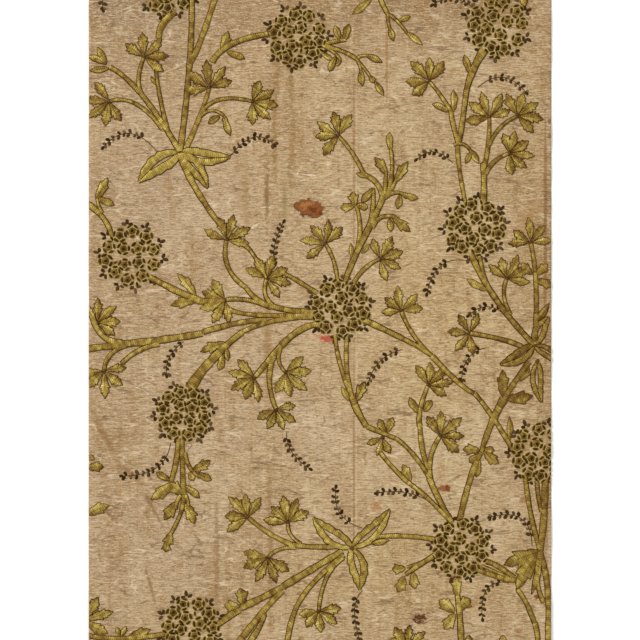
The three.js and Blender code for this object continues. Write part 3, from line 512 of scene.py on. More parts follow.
def stem(row, rank):
    """A stem of short runs of satin stitch, with a brown cord along each side and across most joints"""
    draw = np.random.default_rng([SEED, STEM.seed, rank])
    (x0, y0), (x1, y1) = reach_out(row.x0, row.y0), reach_out(row.x1, row.y1)
    line = arc_through(row._replace(x0=x0, y0=y0, x1=x1, y1=y1), STEM.step)
    share = line.run / line.run[-1]
    half = (STEM.fill * blend(row.w0, row.w1, share) - CORD.wide) / 2
    half = half * (1 + STEM.wobble * np.sin(line.run / draw.uniform(*STEM.wave) + rank))
    across = np.linspace(-1, 1, 7)
    joints = stem_joints(line.run[-1], draw)
    which = np.clip(np.searchsorted(joints, line.run, side="right") - 1, 0, len(joints) - 2)
    local = (line.run - joints[which]) / (joints[which + 1] - joints[which])
    swell = np.sin(math.pi * local) ** 0.5
    ends = ends_rise(np.minimum(line.run, line.run[-1] - line.run) / 2.0, 0.3)
    grid = line.points[:, None] + spread_over(half[:, None] * across, line.side)
    height = STEM.high * (ends * blend(STEM.waist, 1.0, swell))[:, None] * dome(across, STEM.edge)
    # Painted light: each run is brighter where it swells and along its crown, darker at both sides, and lighter along
    # one side than the other
    bright = draw.uniform(*STEM.tone, len(joints))[which] + STEM.swell_tone * swell
    bright = (bright + STEM.fall_tone * (0.5 - local))[:, None]
    tone = bright + STEM.back_tone * (1 - across ** 2) - STEM.side_tone
    tone = tone + STEM.lean_tone * across * draw.choice([-1, 1]) + gold_wear(grid[..., 0], grid[..., 1])
    sewn["gold_stems"].add(grid, height, tone, (line.run[:, None], half[:, None] * across))
    cords = sewn["stem_outlines"]
    for side in (-1, 1):
        edge = line.points + line.side * (side * (half + 0.05))[:, None]
        wide = CORD.wide * draw.uniform(*STEM.cord_wide)
        add_cord(cords, edge, wide, CORD.high, tone=draw.uniform(*STEM.cord_tone))
    reach = STEM.joint_reach * np.linspace(-1, 1, 5)
    low = STEM.high * STEM.waist * dome(reach, STEM.edge) - STEM.sunk
    bow = draw.choice([-1, 1]) * STEM.bow * (1 - reach ** 2)
    for place in joints[1:-1]:
        if draw.random() < STEM.shown:
            at = int(np.argmin(np.abs(line.run - place)))
            path = line.points[at] + np.outer(half[at] * reach, line.side[at]) + np.outer(bow, line.way[at])
            wide = CORD.fine * draw.uniform(*STEM.joint_wide)
            tone = draw.uniform(*STEM.joint_tone)
            add_cord(cords, path, wide, STEM.joint_high, low, tone, CORD.joint_step)


def leaf_profile(t, widest, sharp=LEAF.sharp):
    """Half width of a pointed leaf along its length, 1 where it is widest"""
    blunt = sharp * widest / (1 - widest)
    return (t / widest) ** blunt * ((1 - t) / (1 - widest)) ** sharp


def toothed(t, teeth, span, phase, deep):
    """Forward-pointing teeth along a leaf's edge, between two shares of its length"""
    if teeth == 0:
        return np.ones_like(t)
    start, end = span
    rise = ((t - start) / (end - start) * teeth + phase) % 1.0
    return np.where((t > start) & (t < end), 1 - deep + 2 * deep * rise, 1.0)


def heading(base, tip):
    """Length, direction and left side of the straight line from base to tip"""
    length = float(np.linalg.norm(tip - base))
    way = (tip - base) / length
    return length, way, np.array([-way[1], way[0]])


def lobe(batch, base, tip, width, high, teeth, widest, draw):
    """One satin-stitched lobe or leaf with its midrib, from base to tip"""
    base, tip = np.asarray(base, float), np.asarray(tip, float)
    length, way, side = heading(base, tip)
    t = np.linspace(0.0, 1.0, max(12, round(length / LEAF.step)))
    bend = draw.uniform(-LEAF.bend, LEAF.bend) * length
    middle = base + way * (t * length)[:, None] + side * (bend * np.sin(math.pi * t))[:, None]
    profile = leaf_profile(np.clip(t, 0.02, 0.985), widest)
    depth = draw.uniform(*LEAF.depth)
    deep = LEAF.deep * depth
    spans = [LEAF.toothed + draw.uniform(-LEAF.stray, LEAF.stray, 2) for _ in (0, 1)]
    edges = [profile * toothed(t, teeth, span, 0.0, deep) * width / 2 for span in spans]
    across = np.linspace(-1, 1, 7)
    reach = np.where(across < 0, edges[0][:, None], edges[1][:, None]) * across
    lean = np.abs(reach) * (LEAF.lean * np.sin(math.pi * t))[:, None]
    grid = middle[:, None] + side * reach[..., None] + way * lean[..., None]
    ends = np.clip(np.minimum(t * 6 + 0.25, (1 - t) * 7 + 0.2), 0, 1)
    groove, groove_wide = LEAF.groove
    ridge = dome(across, LEAF.edge) - groove * np.exp(-(across / groove_wide) ** 2)
    height = high * ends[:, None] * ridge
    least, most = LEAF.depth
    tarnish = blend(*LEAF.tarnish, (depth - least) / (most - least))
    # Painted shade: each lobe is darker near the hub, where the lobes meet; towards its tip it is darkened by tarnish
    lit = 0.34 + 0.3 * np.clip(t / 0.4, 0, 1) - tarnish * np.clip((t - 0.6) / 0.4, 0, 1)
    # Painted light and shade: one half of the lobe lighter and the other darker, and its edges darker
    sheen = draw.uniform(*LEAF.sheen) * draw.choice([-1, 1]) * np.tanh(3 * across)
    tone = (lit + draw.uniform(-0.08, 0.1))[:, None] + sheen - 0.1 * across ** 4
    tone = tone + gold_wear(grid[..., 0], grid[..., 1])
    batch.add(grid, height, tone, ((t * length)[:, None] + lean, reach))
    cords, cord_tone = sewn["leaf_outlines"], draw.uniform(*LEAF.cord_tone)
    for column in (0, -1):
        wide = CORD.leaf * draw.uniform(*LEAF.cord_wide)
        add_cord(cords, grid[:, column], wide, CORD.high, tone=cord_tone, step=CORD.leaf_step)
    start, end = LEAF.rib
    rib = (t > start) & (t < end)
    low, tone = height[rib, 3] - 0.03, cord_tone + LEAF.rib_tone
    add_cord(cords, middle[rib], CORD.fine - 0.06, LEAF.rib_high, low, tone, CORD.joint_step)


def palm(row, rank):
    """A palmate leaf: toothed lobes that spread from a small hub"""
    draw = np.random.default_rng([SEED, LEAF.seed, rank])
    batch, hub = sewn["gold_palmate_leaves"], np.array([row.x, row.y], float)
    step = math.radians(row.spread) / (row.lobes - 1)
    first = math.radians(row.aim - row.spread / 2)
    disc(batch, hub, LEAF.hub, LEAF.high, 0.0, LEAF.hub_tone, draw)
    for i in draw.permutation(row.lobes):
        outer = abs(2 * i / (row.lobes - 1) - 1)
        angle = first + i * step + draw.uniform(-LEAF.sway, LEAF.sway)
        length = row.size * LEAF.long * blend(1.0, LEAF.outer, outer) * draw.uniform(0.92, 1.08)
        base, tip = hub + polar(angle, LEAF.from_hub), hub + polar(angle, length)
        width = min(LEAF.slim * row.size, LEAF.fan * row.size * LEAF.widest * step) * draw.uniform(0.88, 1.1)
        lobe(batch, base, tip, width, LEAF.high * draw.uniform(0.92, 1.1), LEAF.teeth, LEAF.widest, draw)


def blade(row, rank):
    """A single leaf, with more teeth where it is wider"""
    draw = np.random.default_rng([SEED, BLADE.seed, rank])
    teeth = sum(row.width > least for least in BLADE.tooth_widths)
    base, tip, width = (row.x0, row.y0), (row.x1, row.y1), row.width * BLADE.fill
    lobe(sewn["gold_single_leaves"], base, tip, width, BLADE.high, teeth, BLADE.widest, draw)


def bract(row, rank):
    """An open leaf: two satin halves with a slit of bare silk between them"""
    draw = np.random.default_rng([SEED, BRACT.seed, rank])
    batch, cords = sewn["gold_open_leaves"], sewn["leaf_outlines"]
    hub, tip = np.array([row.x0, row.y0], float), np.array([row.x1, row.y1], float)
    base = hub + heading(hub, tip)[1] * BRACT.from_hub
    length, way, side = heading(base, tip)
    t = np.linspace(0, 1, round(length / LEAF.step))
    bend = draw.choice([-1, 1]) * BRACT.bend * length
    middle = base + way * (t * length)[:, None] + side * (bend * np.sin(math.pi * t) - bend * 0.8 * t ** 3)[:, None]
    low, high = BRACT.slit
    open_at = np.clip((t - low) / (high - low), 0, 1)
    slit = row.slit / 2 * np.sin(math.pi * open_at ** 0.8) ** 0.8
    profile = row.width / 2 * leaf_profile(np.clip(t, 0.03, 0.97), BRACT.widest, BRACT.sharp)
    across = np.linspace(0, 1, 6)
    ends = ends_rise(np.minimum(t, 1 - t) * 9, 0.2)
    edge_tone, slit_tone = BRACT.cord_tones
    for half, shine in zip((-1, 1), draw.uniform(*BRACT.tone, 2)):
        phase, deep = draw.uniform(0, 1), BRACT.deep * draw.uniform(0.6, 1.2)
        jagged = toothed(t, BRACT.teeth, BRACT.toothed, phase, deep)
        jagged = np.convolve(np.pad(jagged, 2, mode="edge"), np.full(5, 0.2), mode="valid")
        reach = blend(slit[:, None], np.maximum(profile * jagged, slit + 0.3)[:, None], across)
        grid = middle[:, None] + side * (half * reach)[..., None] + way * (0.2 * reach)[..., None]
        height = BRACT.high * ends[:, None] * dome(2 * across - 1, 0.3)
        # Painted highlight along the middle of each half; each half is also darker towards its ends
        tone = shine + 0.1 * np.sin(math.pi * across) - 0.12 * (1 - ends)[:, None]
        tone = tone + gold_wear(grid[..., 0], grid[..., 1])
        batch.add(grid, height, tone, ((t * length)[:, None], half * reach))
        step = BRACT.cord_step
        add_cord(cords, grid[:, -1], CORD.wide, CORD.high + 0.05, tone=edge_tone, step=step)
        add_cord(cords, grid[t < high, 0], CORD.leaf, CORD.high, tone=slit_tone, step=step)
    rib = (t >= high) & (t < BRACT.rib_end)
    add_cord(cords, middle[rib], CORD.fine, 0.2, BRACT.high * 0.5, edge_tone, CORD.joint_step)
    disc(batch, hub, BRACT.hub, BRACT.high * 0.8, 0.0, BRACT.hub_tone, draw)


def oval(batch, middle, turn, long, wide, high, low, tone):
    """A small domed oval, longer along its turn, with a painted highlight along its back"""
    way, side = polar(turn, 1.0), polar(turn + math.pi / 2, 1.0)
    t, across = np.linspace(-1, 1, 7), np.linspace(-1, 1, 5)
    half = wide / 2 * np.sqrt(np.clip(1 - np.abs(t) ** 2.2, 0.02, 1))
    grid = middle + way * (t * long / 2)[:, None, None] + side * (half[:, None] * across)[..., None]
    height = low + high * np.sqrt(np.clip(1 - t[:, None] ** 2 * 0.9 - across ** 2 * 0.6, 0, 1))
    height[[0, -1]] = FOOT
    height[:, [0, -1]] = FOOT
    # Painted highlight: lighter along the middle of the oval and darker at its sides
    shade = tone + 0.12 * (1 - across ** 2) - 0.06 + 0.05 * grain(grid[..., 0], grid[..., 1])
    batch.add(grid, height, shade, ((t * long / 2)[:, None], half[:, None] * across))


def disc(batch, middle, radius, high, low, tone, draw, rings=4):
    """A small round cushion of stitches with an uneven rim"""
    angle = np.linspace(0, 2 * math.pi, 13)
    rim = 1 + 0.1 * np.sin(2 * angle + draw.uniform(0, 6)) + 0.07 * np.sin(3 * angle + draw.uniform(0, 6))
    share = np.linspace(0.06, 1, rings)
    spokes = np.stack([np.cos(angle), np.sin(angle)], axis=-1)
    grid = middle + (radius * share)[:, None, None] * (rim[:, None] * spokes)
    height = np.broadcast_to((low + high * np.sqrt(1 - 0.92 * share ** 2))[:, None], grid.shape[:2]).copy()
    height[-1] = FOOT
    shade = tone + 0.07 * grain(grid[..., 0], grid[..., 1])
    batch.add(grid, height, shade, ((radius * share)[:, None], (angle * radius)[None]))


def rosette(middle, draw):
    """One floret: a dark knot in a gold disc with a pale ring, and dark petals with pale edges close round it"""
    turn = draw.uniform(0, 2 * math.pi)
    size = draw.uniform(*ROSETTE.size)
    ring, high, count = ROSETTE.ring * size, ROSETTE.high, ROSETTE.petals
    disc(sewn["rosette_petals"], middle, ring * 0.97, high * 0.8, 0.0, draw.uniform(*ROSETTE.disc_tone), draw)
    at, wide = middle + draw.uniform(-0.3, 0.3, 2), ROSETTE.knot * size
    disc(sewn["rosette_knots"], at, wide, 0.3, high * 0.7, draw.uniform(0.0, 0.3), draw, 3)
    corners = turn + 2 * math.pi * (np.arange(count + 1) + np.append(draw.uniform(-0.12, 0.12, count), 0)) / count
    corners[-1] = corners[0] + 2 * math.pi
    for near, far in zip(corners, corners[1:]):
        centre = (near + far) / 2
        bow = [middle + polar(angle, ring * r) for angle, r in ((near + 0.1, 1), (centre, 0.96), (far - 0.1, 1))]
        pale_edge(bow, high * 0.42, draw.uniform(0.6, 1.1), 0.9)
        at = middle + polar(centre, ROSETTE.petal_at * size)
        rosette_petal(at, centre + math.pi / 2 + draw.uniform(-0.15, 0.15), size, draw)


def pale_edge(path, low, tone, step):
    add_cord(sewn["rosette_pale_edges"], path, ROSETTE.rim, ROSETTE.rim_high, low, tone, step)


def rosette_petal(at, along, size, draw):
    """A dark petal with pale edges"""
    long = ROSETTE.petal_long * size * draw.uniform(*ROSETTE.petal_size)
    wide = ROSETTE.petal_wide * size * draw.uniform(*ROSETTE.petal_size)
    high = ROSETTE.high
    oval(sewn["rosette_petals"], at, along, long, wide, high * 0.7, 0.0, draw.uniform(*ROSETTE.petal_tone))
    oval(sewn["rosette_knots"], at, along, long * 0.84, wide * 0.7, 0.2, high * 0.62, draw.uniform(0.0, 0.45))
    t = np.linspace(-0.96, 0.96, 6)
    for edge in (-1, 1):
        rim = edge * wide / 2 * np.sqrt(1 - t ** 2)
        path = at + np.outer(t * long / 2, polar(along, 1)) + np.outer(rim, polar(along + math.pi / 2, 1))
        pale_edge(path, 0.08, draw.uniform(0.7, 1.1), 0.8)


def bud(middle, outward, draw):
    """Three dark leaflets that open away from the flower head"""
    for turn in (-BUD.spread, 0.0, BUD.spread):
        angle = outward + turn + draw.uniform(-0.25, 0.25)
        long = BUD.long * draw.uniform(0.85, 1.1) * (1.1 if turn == 0 else 0.9)
        wide = BUD.wide * draw.uniform(0.85, 1.05)
        at = middle + polar(angle, long * 0.62)
        oval(sewn["dark_buds"], at, angle, long, wide, BUD.high, 0.0, draw.uniform(*BUD.tone))


def head(row, rank):
    """A flower head: rings of rosettes, spare petals where there is room between them, and buds outside"""
    draw = np.random.default_rng([SEED, HEAD.seed, rank])
    middle = np.array([row.x, row.y], float)
    start = draw.uniform(0, 2 * math.pi)
    middles, spare = [], []
    for count, share, turn in HEAD.rings:
        for i in range(count):
            angle = start + turn + 2 * math.pi * (i + draw.uniform(-HEAD.stray, HEAD.stray)) / count
            middles.append(middle + polar(angle, row.r * share * draw.uniform(*HEAD.reach)))
    for at in middles:
        rosette(at, draw)
    for _ in range(SPARE.tries):
        reach = row.r * math.sqrt(draw.uniform(*SPARE.reach))
        angle = draw.uniform(0, 2 * math.pi)
        at = middle + polar(angle, reach)
        clear = all(np.linalg.norm(at - other) > SPARE.from_middle for other in middles)
        if clear and all(np.linalg.norm(at - other) > SPARE.apart for other in spare):
            spare.append(at)
            rosette_petal(at, angle + draw.uniform(-SPARE.turn, SPARE.turn), SPARE.size, draw)
    for i in range(BUD.count):
        angle = start + 2 * math.pi * (i + 0.5 + draw.uniform(-0.2, 0.2)) / BUD.count
        bud(middle + polar(angle, row.r + BUD.out), angle, draw)


def sprig(row, rank):
    """A thin stalk with pairs of small dark leaflets, every second pair smaller and paler, and one at its tip"""
    draw = np.random.default_rng([SEED, SPRIG.seed, rank])
    line = arc_through(row, SPRIG.step)
    stalk = sewn["sprig_stalks"]
    add_cord(stalk, line.points, SPRIG.stalk, SPRIG.stalk_high, tone=0.3, step=CORD.joint_step)
    length = line.run[-1]
    places = np.arange(row.bare * length + SPRIG.clear, length - SPRIG.clear, SPRIG.pair)
    batch, (long, wide) = sewn["sprig_leaflets"], SPRIG.leaflet
    for n, place in enumerate(places):
        at = int(np.argmin(np.abs(line.run - place)))
        ahead = math.atan2(line.way[at, 1], line.way[at, 0])
        for side in (-1, 1):
            angle = ahead + side * draw.uniform(*SPRIG.open)
            size = SPRIG.sizes[n % 2] * draw.uniform(0.85, 1.1)
            middle = line.points[at] + polar(angle, long * size * 0.55) + line.way[at] * side * SPRIG.aside
            tone = draw.uniform(*SPRIG.tone) + SPRIG.paler[n % 2]
            oval(batch, middle, angle, long * size, wide * size, SPRIG.high, 0.0, tone)
    ahead = math.atan2(line.way[-1, 1], line.way[-1, 0])
    oval(batch, line.points[-1], ahead, long, wide, SPRIG.high, 0.0, 0.2)


for form, rows in ((stem, STEMS), (palm, PALMS), (blade, BLADES), (bract, BRACTS), (head, HEADS), (sprig, SPRIGS)):
    for rank, row in enumerate(rows):
        form(row, rank)


# Materials. Colours are as seen on a screen, 0 to 255, and sizes of noises are in millimetres along X and Y

# Colours along a thread's tone
GOLD_STOPS = [
    (0.0, (68, 40, 4)), (0.25, (106, 75, 20)), (0.45, (136, 106, 40)), (0.65, (164, 137, 60)),
    (0.82, (192, 168, 82)), (1.0, (212, 192, 118)),
]
BROWN_STOPS = [(0.0, (40, 18, 0)), (0.45, (68, 40, 4)), (0.75, (100, 70, 22)), (1.0, (136, 106, 46))]
DARK_STOPS = [(0.0, (44, 27, 8)), (0.5, (74, 53, 27)), (1.0, (126, 102, 64))]
# Painted shade in the grooves between threads
GROOVE_SHADE_COLOUR = (40, 28, 10)

# Threads: colours, the pitch, depth and lean of their stitches, then how rough, metallic, shiny and patchy they are
THREADS = table("name stops pitch deep lean rough metal shine patchy", [
    ("gold_satin_stitch", GOLD_STOPS, 1.5, 0.26, 0.15, 0.5, 0.3, 0.2, 0.75),
    ("pale_gold_cord", GOLD_STOPS, 0.7, 0.08, 0.8, 0.5, 0.2, 0.2, 0.55),
    ("brown_outline_cord", BROWN_STOPS, 0.8, 0.1, 0.9, 0.8, 0.0, 0.02, 1.7),
    ("dark_brown_stitch", DARK_STOPS, 0.45, 0.08, 0.2, 0.8, 0.0, 0.02, 0.55),
])

# The silk's noises: size, detail, roughness and twist
SILK_NOISES = {
    "broad": ((34.0, 44.0), 3.0), "blotch": ((11.0, 9.0), 4.0, 0.6), "upright": ((6.0, 80.0), 4.0, 0.62),
    "fold": ((16.0, 60.0), 3.0, 0.5, 0.3), "weft": ((7.0, 1.3), 4.0, 0.62, 0.9), "dash": ((4.0, 0.75), 3.0, 0.6, 0.5),
    "slub": ((3.0, 1.0), 3.0, 0.65), "fleck": ((1.3, 0.9), 2.0, 0.6), "threads": ((2.6, 0.32), 2.0),
}
SILK_STOPS = [(0.3, (170, 141, 104)), (0.5, (182, 154, 114)), (0.7, (192, 166, 128))]

# Colours laid over the silk by those noises: where each starts and is full, and how strong it is
SILK_LAYERS = table("noise start full strength red green blue", [
    # The two fold rows are painted shade and painted highlight of soft folds
    ("fold", 0.5, 0.7, 0.4, 154, 118, 74), ("fold", 0.46, 0.28, 0.35, 198, 175, 138),
    ("blotch", 0.5, 0.7, 0.6, 156, 120, 72), ("blotch", 0.46, 0.28, 0.5, 196, 173, 138),
    ("upright", 0.54, 0.7, 0.6, 150, 114, 64), ("upright", 0.46, 0.28, 0.35, 196, 174, 138),
    # The two weft rows are painted shade and highlight lines along the fine crinkles of the weave
    ("weft", 0.5, 0.68, 0.62, 120, 90, 56), ("weft", 0.48, 0.32, 0.5, 214, 190, 148),
    ("dash", 0.52, 0.68, 0.7, 118, 88, 56), ("dash", 0.47, 0.3, 0.6, 220, 197, 156),
    ("slub", 0.53, 0.7, 0.45, 130, 100, 64), ("fleck", 0.54, 0.7, 0.6, 226, 204, 166),
])

# Lines of small wrinkles, lit and shaded: size, half width in the noise, strength, shift and colour
RIPPLES = table("size narrow strength shift red green blue", [
    ((36.0, 9.0), 0.022, 0.5, 0.0, 226, 208, 174), ((30.0, 8.0), 0.026, 0.7, 31.0, 116, 88, 56),
])
BROKEN = Values(size=(24.0, 12.0), start=0.44, whole=0.6)

# Edges of the washes, and of the stains and painted light lines, which are torn by a finer or coarser noise
WASH = Values(edge=1.3, full=0.1)
STAIN_AND_LIGHT_EDGE = Values(sizes=((3.2, 2.6), (4.8, 4.0)), coarse_from=4.5, reach=2.2, edge=1.05)

# Wear of the threads: the patches of tone and the worn spots, and the painted shade in the grooves between stitches
WEAR = Values(patch=(0.9, 5.0), spot=(2.2, 1.0), start=0.56, full=0.7, strength=0.6)
GROOVE_SHADE = Values(start=0.4, strength=0.5)
SILK_WORN = (0.38, 0.58, 0.88, 1.0)


def put(tree, kind, settings=None, **inputs):
    """Adds a node. An input is a number, a colour or another node's output, and n0 is the first of its inputs"""
    made = tree.nodes.new(kind)
    for name, value in (settings or {}).items():
        setattr(made, name, value)
    for name, value in inputs.items():
        name = name.replace("_", " ")
        join(tree, value, made.inputs[int(name[1:]) if name[0] == "n" and name[1:].isdigit() else name])
    return made


def join(tree, value, socket):
    """Links another node's output to a socket, or sets a constant there"""
    if isinstance(value, bpy.types.NodeSocket):
        tree.links.new(value, socket)
    else:
        socket.default_value = value


def maths(tree, operation, *values):
    inputs = {f"n{i}": value for i, value in enumerate(values)}
    return put(tree, "ShaderNodeMath", {"operation": operation}, **inputs).outputs[0]


def vector(tree, operation, **inputs):
    return put(tree, "ShaderNodeVectorMath", {"operation": operation}, **inputs).outputs


def linear(red, green, blue):
    """A screen colour of 0 to 255 as the shader's own colour"""
    shares = [c / 255 for c in (red, green, blue)]
    return (*(s / 12.92 if s <= 0.04045 else ((s + 0.055) / 1.055) ** 2.4 for s in shares), 1.0)


def over(tree, factor, below, above):
    """One colour laid over another"""
    made = tree.nodes.new("ShaderNodeMix")
    made.data_type = "RGBA"
    sockets = {s.identifier: s for s in made.inputs}
    for name, value in (("Factor_Float", factor), ("A_Color", below), ("B_Color", above)):
        join(tree, value, sockets[name])
    return next(s for s in made.outputs if s.identifier == "Result_Color")


def laid(tree, amount, below, row):
    """A row's colour laid over another"""
    return over(tree, amount, below, linear(row.red, row.green, row.blue))


def ramp(tree, value, stops):
    """Colours along a value: stops are (place, (red, green, blue))"""
    made = put(tree, "ShaderNodeValToRGB", Fac=value)
    points = made.color_ramp.elements
    while len(points) < len(stops):
        points.new(0.5)
    for point, (place, colour) in zip(points, stops):
        point.position = place
        point.color = linear(*colour)
    return made.outputs[0]


def material(name, **finish):
    """A material with its node tree and shader, whose named inputs are set to constants"""
    made = bpy.data.materials.new(name)
    made.use_nodes = True
    shader = next(n for n in made.node_tree.nodes if n.type == "BSDF_PRINCIPLED")
    for key, value in finish.items():
        shader.inputs[key.replace("_", " ")].default_value = value
    return made, made.node_tree, shader


def places_mm(tree):
    """The piece's own coordinates in millimetres, flattened into the cloth's plane"""
    here = put(tree, "ShaderNodeTexCoord").outputs["Object"]
    return vector(tree, "MULTIPLY", n0=here, n1=(1 / MM, 1 / MM, 0.0))[0]


def noise(tree, at, size, detail=3.0, rough=0.5, twist=0.0):
    """Noise whose blotches are about the given size along X and Y, in the coordinates' own units"""
    spread = vector(tree, "MULTIPLY", n0=at, n1=(1 / size[0], 1 / size[1], 1.0))[0]
    made = put(tree, "ShaderNodeTexNoise", None, Vector=spread, Scale=1.0, Detail=detail, Roughness=rough,
               Distortion=twist)
    return made.outputs[0]


def ease(tree, value, low, high, to_low=0.0, to_high=1.0):
    """A value eased from one range into another"""
    made = put(tree, "ShaderNodeMapRange", {"interpolation_type": "SMOOTHSTEP"}, Value=value, n1=low, n2=high,
               n3=to_low, n4=to_high)
    return made.outputs[0]


def raised(tree, height, strength, deep, **under):
    """A pattern raised on the surface, as deep as given in millimetres"""
    made = put(tree, "ShaderNodeBump", None, Strength=strength, Distance=deep * MM, Height=height, **under)
    return made.outputs[0]


def far_from(tree, at, row):
    """Distance from the middle of a row's turned oval, 1 at its edge"""
    here = put(tree, "ShaderNodeMapping", {"vector_type": "TEXTURE"}, Vector=at, Location=(row.x, row.y, 0.0),
               Rotation=(0.0, 0.0, math.radians(row.turn)), Scale=(row.long, row.wide, 1.0)).outputs[0]
    return vector(tree, "LENGTH", n0=here)["Value"]


def rippled(tree, at, row):
    """Where the wandering lines of small wrinkles run, broken into short lengths"""
    moved = vector(tree, "ADD", n0=at, n1=(row.shift, -row.shift, 0.0))[0]
    level = noise(tree, moved, row.size, 2.0, 0.45, 0.4)
    near = maths(tree, "ABSOLUTE", maths(tree, "SUBTRACT", level, 0.5))
    broken = ease(tree, noise(tree, moved, BROKEN.size, 2.0), BROKEN.start, BROKEN.whole)
    return maths(tree, "MULTIPLY", ease(tree, near, row.narrow, 0.0, 0.0, row.strength), broken)


def stained_and_lit(tree, at, colour, worn):
    """Lays the stains, darker crease lines and painted highlight and shade lines over a colour, thinner where the
    weave stands up
    """
    fine, coarse = (maths(tree, "SUBTRACT", noise(tree, at, size, 4.0, 0.6), 0.5) for size in STAIN_AND_LIGHT_EDGE.sizes)
    for row in STAINS_AND_LIGHT_LINES:
        torn = fine if row.wide < STAIN_AND_LIGHT_EDGE.coarse_from else coarse
        edge = maths(tree, "MULTIPLY_ADD", torn, STAIN_AND_LIGHT_EDGE.reach * row.ragged, far_from(tree, at, row))
        amount = ease(tree, edge, STAIN_AND_LIGHT_EDGE.edge, STAIN_AND_LIGHT_EDGE.edge - row.soft, 0.0, row.strength)
        colour = laid(tree, maths(tree, "MULTIPLY", amount, worn), colour, row)
    return colour


def silk_material():
    """Aged silk: washes, blotches, the slubbed weave, painted light and shade of folds, crinkles and wrinkles, and
    stains
    """
    made, tree, shader = material("aged_silk", Roughness=0.72, Specular_IOR_Level=0.12, Sheen_Weight=0.05)
    at = places_mm(tree)
    noises = {name: noise(tree, at, *shape) for name, shape in SILK_NOISES.items()}
    tone = ramp(tree, noises["broad"], SILK_STOPS)
    for row in WASHES:
        amount = ease(tree, far_from(tree, at, row), WASH.edge, WASH.full, 0.0, row.strength)
        tone = laid(tree, amount, tone, row)
    for row in SILK_LAYERS:
        tone = laid(tree, ease(tree, noises[row.noise], row.start, row.full, 0.0, row.strength), tone, row)
    for row in RIPPLES:
        tone = laid(tree, rippled(tree, at, row), tone, row)
    worn = ease(tree, noises["dash"], *SILK_WORN)
    tree.links.new(stained_and_lit(tree, at, tone, worn), shader.inputs["Base Color"])
    weave = raised(tree, noises["weft"], 0.55, 0.22)
    tree.links.new(raised(tree, noises["threads"], 0.35, 0.08, Normal=weave), shader.inputs["Normal"])
    return made


def thread_material(row):
    """A thread laid side by side across a form, as low rounded ridges, in the colour of each form's tone, with
    painted shade between the ridges
    """
    made, tree, shader = material(row.name, Roughness=row.rough, Metallic=row.metal, Specular_IOR_Level=row.shine)
    stitch = put(tree, "ShaderNodeUVMap", {"uv_map": "stitch"}).outputs[0]
    parts = put(tree, "ShaderNodeSeparateXYZ", None, Vector=stitch).outputs
    along = maths(tree, "ADD", parts[0], maths(tree, "MULTIPLY", parts[1], row.lean))
    ridge = maths(tree, "ABSOLUTE", maths(tree, "SINE", maths(tree, "MULTIPLY", along, math.pi / row.pitch)))
    tree.links.new(raised(tree, ridge, 0.7, row.deep), shader.inputs["Normal"])
    patch = maths(tree, "SUBTRACT", noise(tree, stitch, WEAR.patch, 3.0, 0.6), 0.5)
    tone = put(tree, "ShaderNodeAttribute", {"attribute_name": "tone"}).outputs["Fac"]
    colour = ramp(tree, maths(tree, "ADD", tone, maths(tree, "MULTIPLY", patch, row.patchy)), row.stops)
    worn = ease(tree, noise(tree, stitch, WEAR.spot, 3.0, 0.6), WEAR.start, WEAR.full, 0.0, WEAR.strength)
    colour = over(tree, worn, colour, linear(*row.stops[1][1]))
    # Painted shade in the grooves between the threads
    between = ease(tree, ridge, GROOVE_SHADE.start, 0.0, 0.0, GROOVE_SHADE.strength)
    colour = over(tree, between, colour, linear(*GROOVE_SHADE_COLOUR))
    tree.links.new(colour, shader.inputs["Base Color"])
    return made


# The silk sheet

def grid_lines(half, step, places, offsets):
    """Even lines from one edge to the other, with finer ones at the edges and round the given places"""
    lines = set(np.round(np.linspace(-half, half, round(2 * half / step) + 1), 3))
    for place in places:
        lines |= {round(place + side * off, 3) for off in (0.0, *offsets) for side in (-1, 1)}
    lines |= {round(side * (half - off), 3) for off in SHEET.hem for side in (-1, 1)}
    kept = [-half]
    for place in sorted(lines):
        if place - kept[-1] > SHEET.closest and half - place > SHEET.closest:
            kept.append(place)
    return np.array([*kept, half])


def silk_sheet(silk):
    """A thin closed sheet: its creased face, its flat underside and its cut edge"""
    upright = sorted({row.x0 for row in CREASES if abs(row.x1 - row.x0) < CREASE.upright})
    xs = grid_lines(CLOTH.wide / 2, SHEET.column, upright, CREASE.fine)
    ys = grid_lines(CLOTH.long / 2, SHEET.row, (), ())
    under_rows = [*range(0, len(ys) - 1, SHEET.rows_under), len(ys) - 1]
    x, y = np.meshgrid(xs, ys)
    face = np.stack([x, y, CLOTH.thick + relief(x, y)], axis=-1)
    under = np.stack([x, y, np.zeros_like(x)], axis=-1)[under_rows]
    top = np.arange(x.size).reshape(x.shape)
    low = top.size + np.arange(under[..., 0].size).reshape(under.shape[:2])
    parts = [quads(top), quads(low.T).swapaxes(0, 1), quads(np.stack([low[0], top[0]])),
             quads(np.stack([top[-1], low[-1]]))]
    faces = np.concatenate([part.reshape(-1, 4) for part in parts]).tolist()
    for j, (start, end) in enumerate(zip(under_rows, under_rows[1:])):
        faces.append([low[j, 0], *top[start:end + 1, 0], low[j + 1, 0]])
        faces.append([low[j + 1, -1], *top[start:end + 1, -1][::-1], low[j, -1]])
    points = np.concatenate([face.reshape(-1, 3), under.reshape(-1, 3)])
    return finish_mesh("silk_ground", points, [[int(v) for v in f] for f in faces], silk)


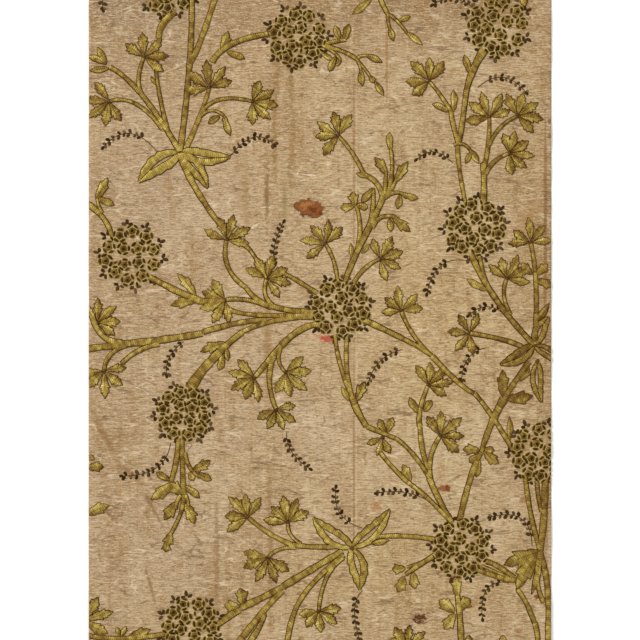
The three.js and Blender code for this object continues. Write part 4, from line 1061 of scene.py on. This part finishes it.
ground = silk_sheet(silk_material())
threads = {row.name: thread_material(row) for row in THREADS}
stitched = [sewn[name].piece(name, threads[thread], slot) for name, (thread, slot) in PIECES.items()]
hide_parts(NODE)


# Floor, lights and camera, in metres

FLOOR = Values(half=2.0, noise=(60.0, 60.0), stops=[(0.3, (250, 250, 249)), (0.7, (253, 253, 252))])
LAMPS = table("name place size power", [
    ("key_light", (-2.6, 2.2, 2.2), 1.4, 134.0), ("fill_light", (1.3, -0.9, 1.5), 1.6, 12.0),
])
ROOM_LIGHT = 0.53


def floor():
    half = FLOOR.half
    mesh = bpy.data.meshes.new("floor")
    mesh.from_pydata([(-half, -half, 0.0), (half, -half, 0.0), (half, half, 0.0), (-half, half, 0.0)], [],
                     [(0, 1, 2, 3)])
    made, tree, shader = material("pale_floor", Roughness=0.9)
    soft = ramp(tree, noise(tree, places_mm(tree), FLOOR.noise, 2.0), FLOOR.stops)
    tree.links.new(soft, shader.inputs["Base Color"])
    mesh.materials.append(made)
    add_object("floor", mesh)


def lamp(row):
    """A soft square light aimed at the middle of the cloth"""
    data = bpy.data.lights.new(row.name, "AREA")
    data.shape, data.size, data.energy = "SQUARE", row.size, row.power
    made = add_object(row.name, data)
    made.location = x, y, z = row.place
    made.rotation_euler = (math.atan2(math.hypot(x, y), z), 0.0, math.atan2(y, x) + math.pi / 2)


def studio():
    floor()
    for row in LAMPS:
        lamp(row)
    scene = bpy.context.scene
    scene.world = bpy.data.worlds.new("pale_room")
    scene.world.use_nodes = True
    sky = scene.world.node_tree.nodes["Background"]
    sky.inputs["Color"].default_value = (1.0, 1.0, 1.0, 1.0)
    sky.inputs["Strength"].default_value = ROOM_LIGHT
    scene.view_settings.view_transform = "Standard"


def camera():
    """Straight above the cloth, as far off as its lens needs"""
    data = bpy.data.cameras.new("camera")
    data.lens, data.sensor_width = VIEW.lens, VIEW.sensor
    made = add_object("camera", data)
    made.location = (0.0, 0.0, CLOTH.thick * MM + VIEW.high * MM * VIEW.lens / VIEW.sensor)
    bpy.context.scene.camera = made


studio()
camera()
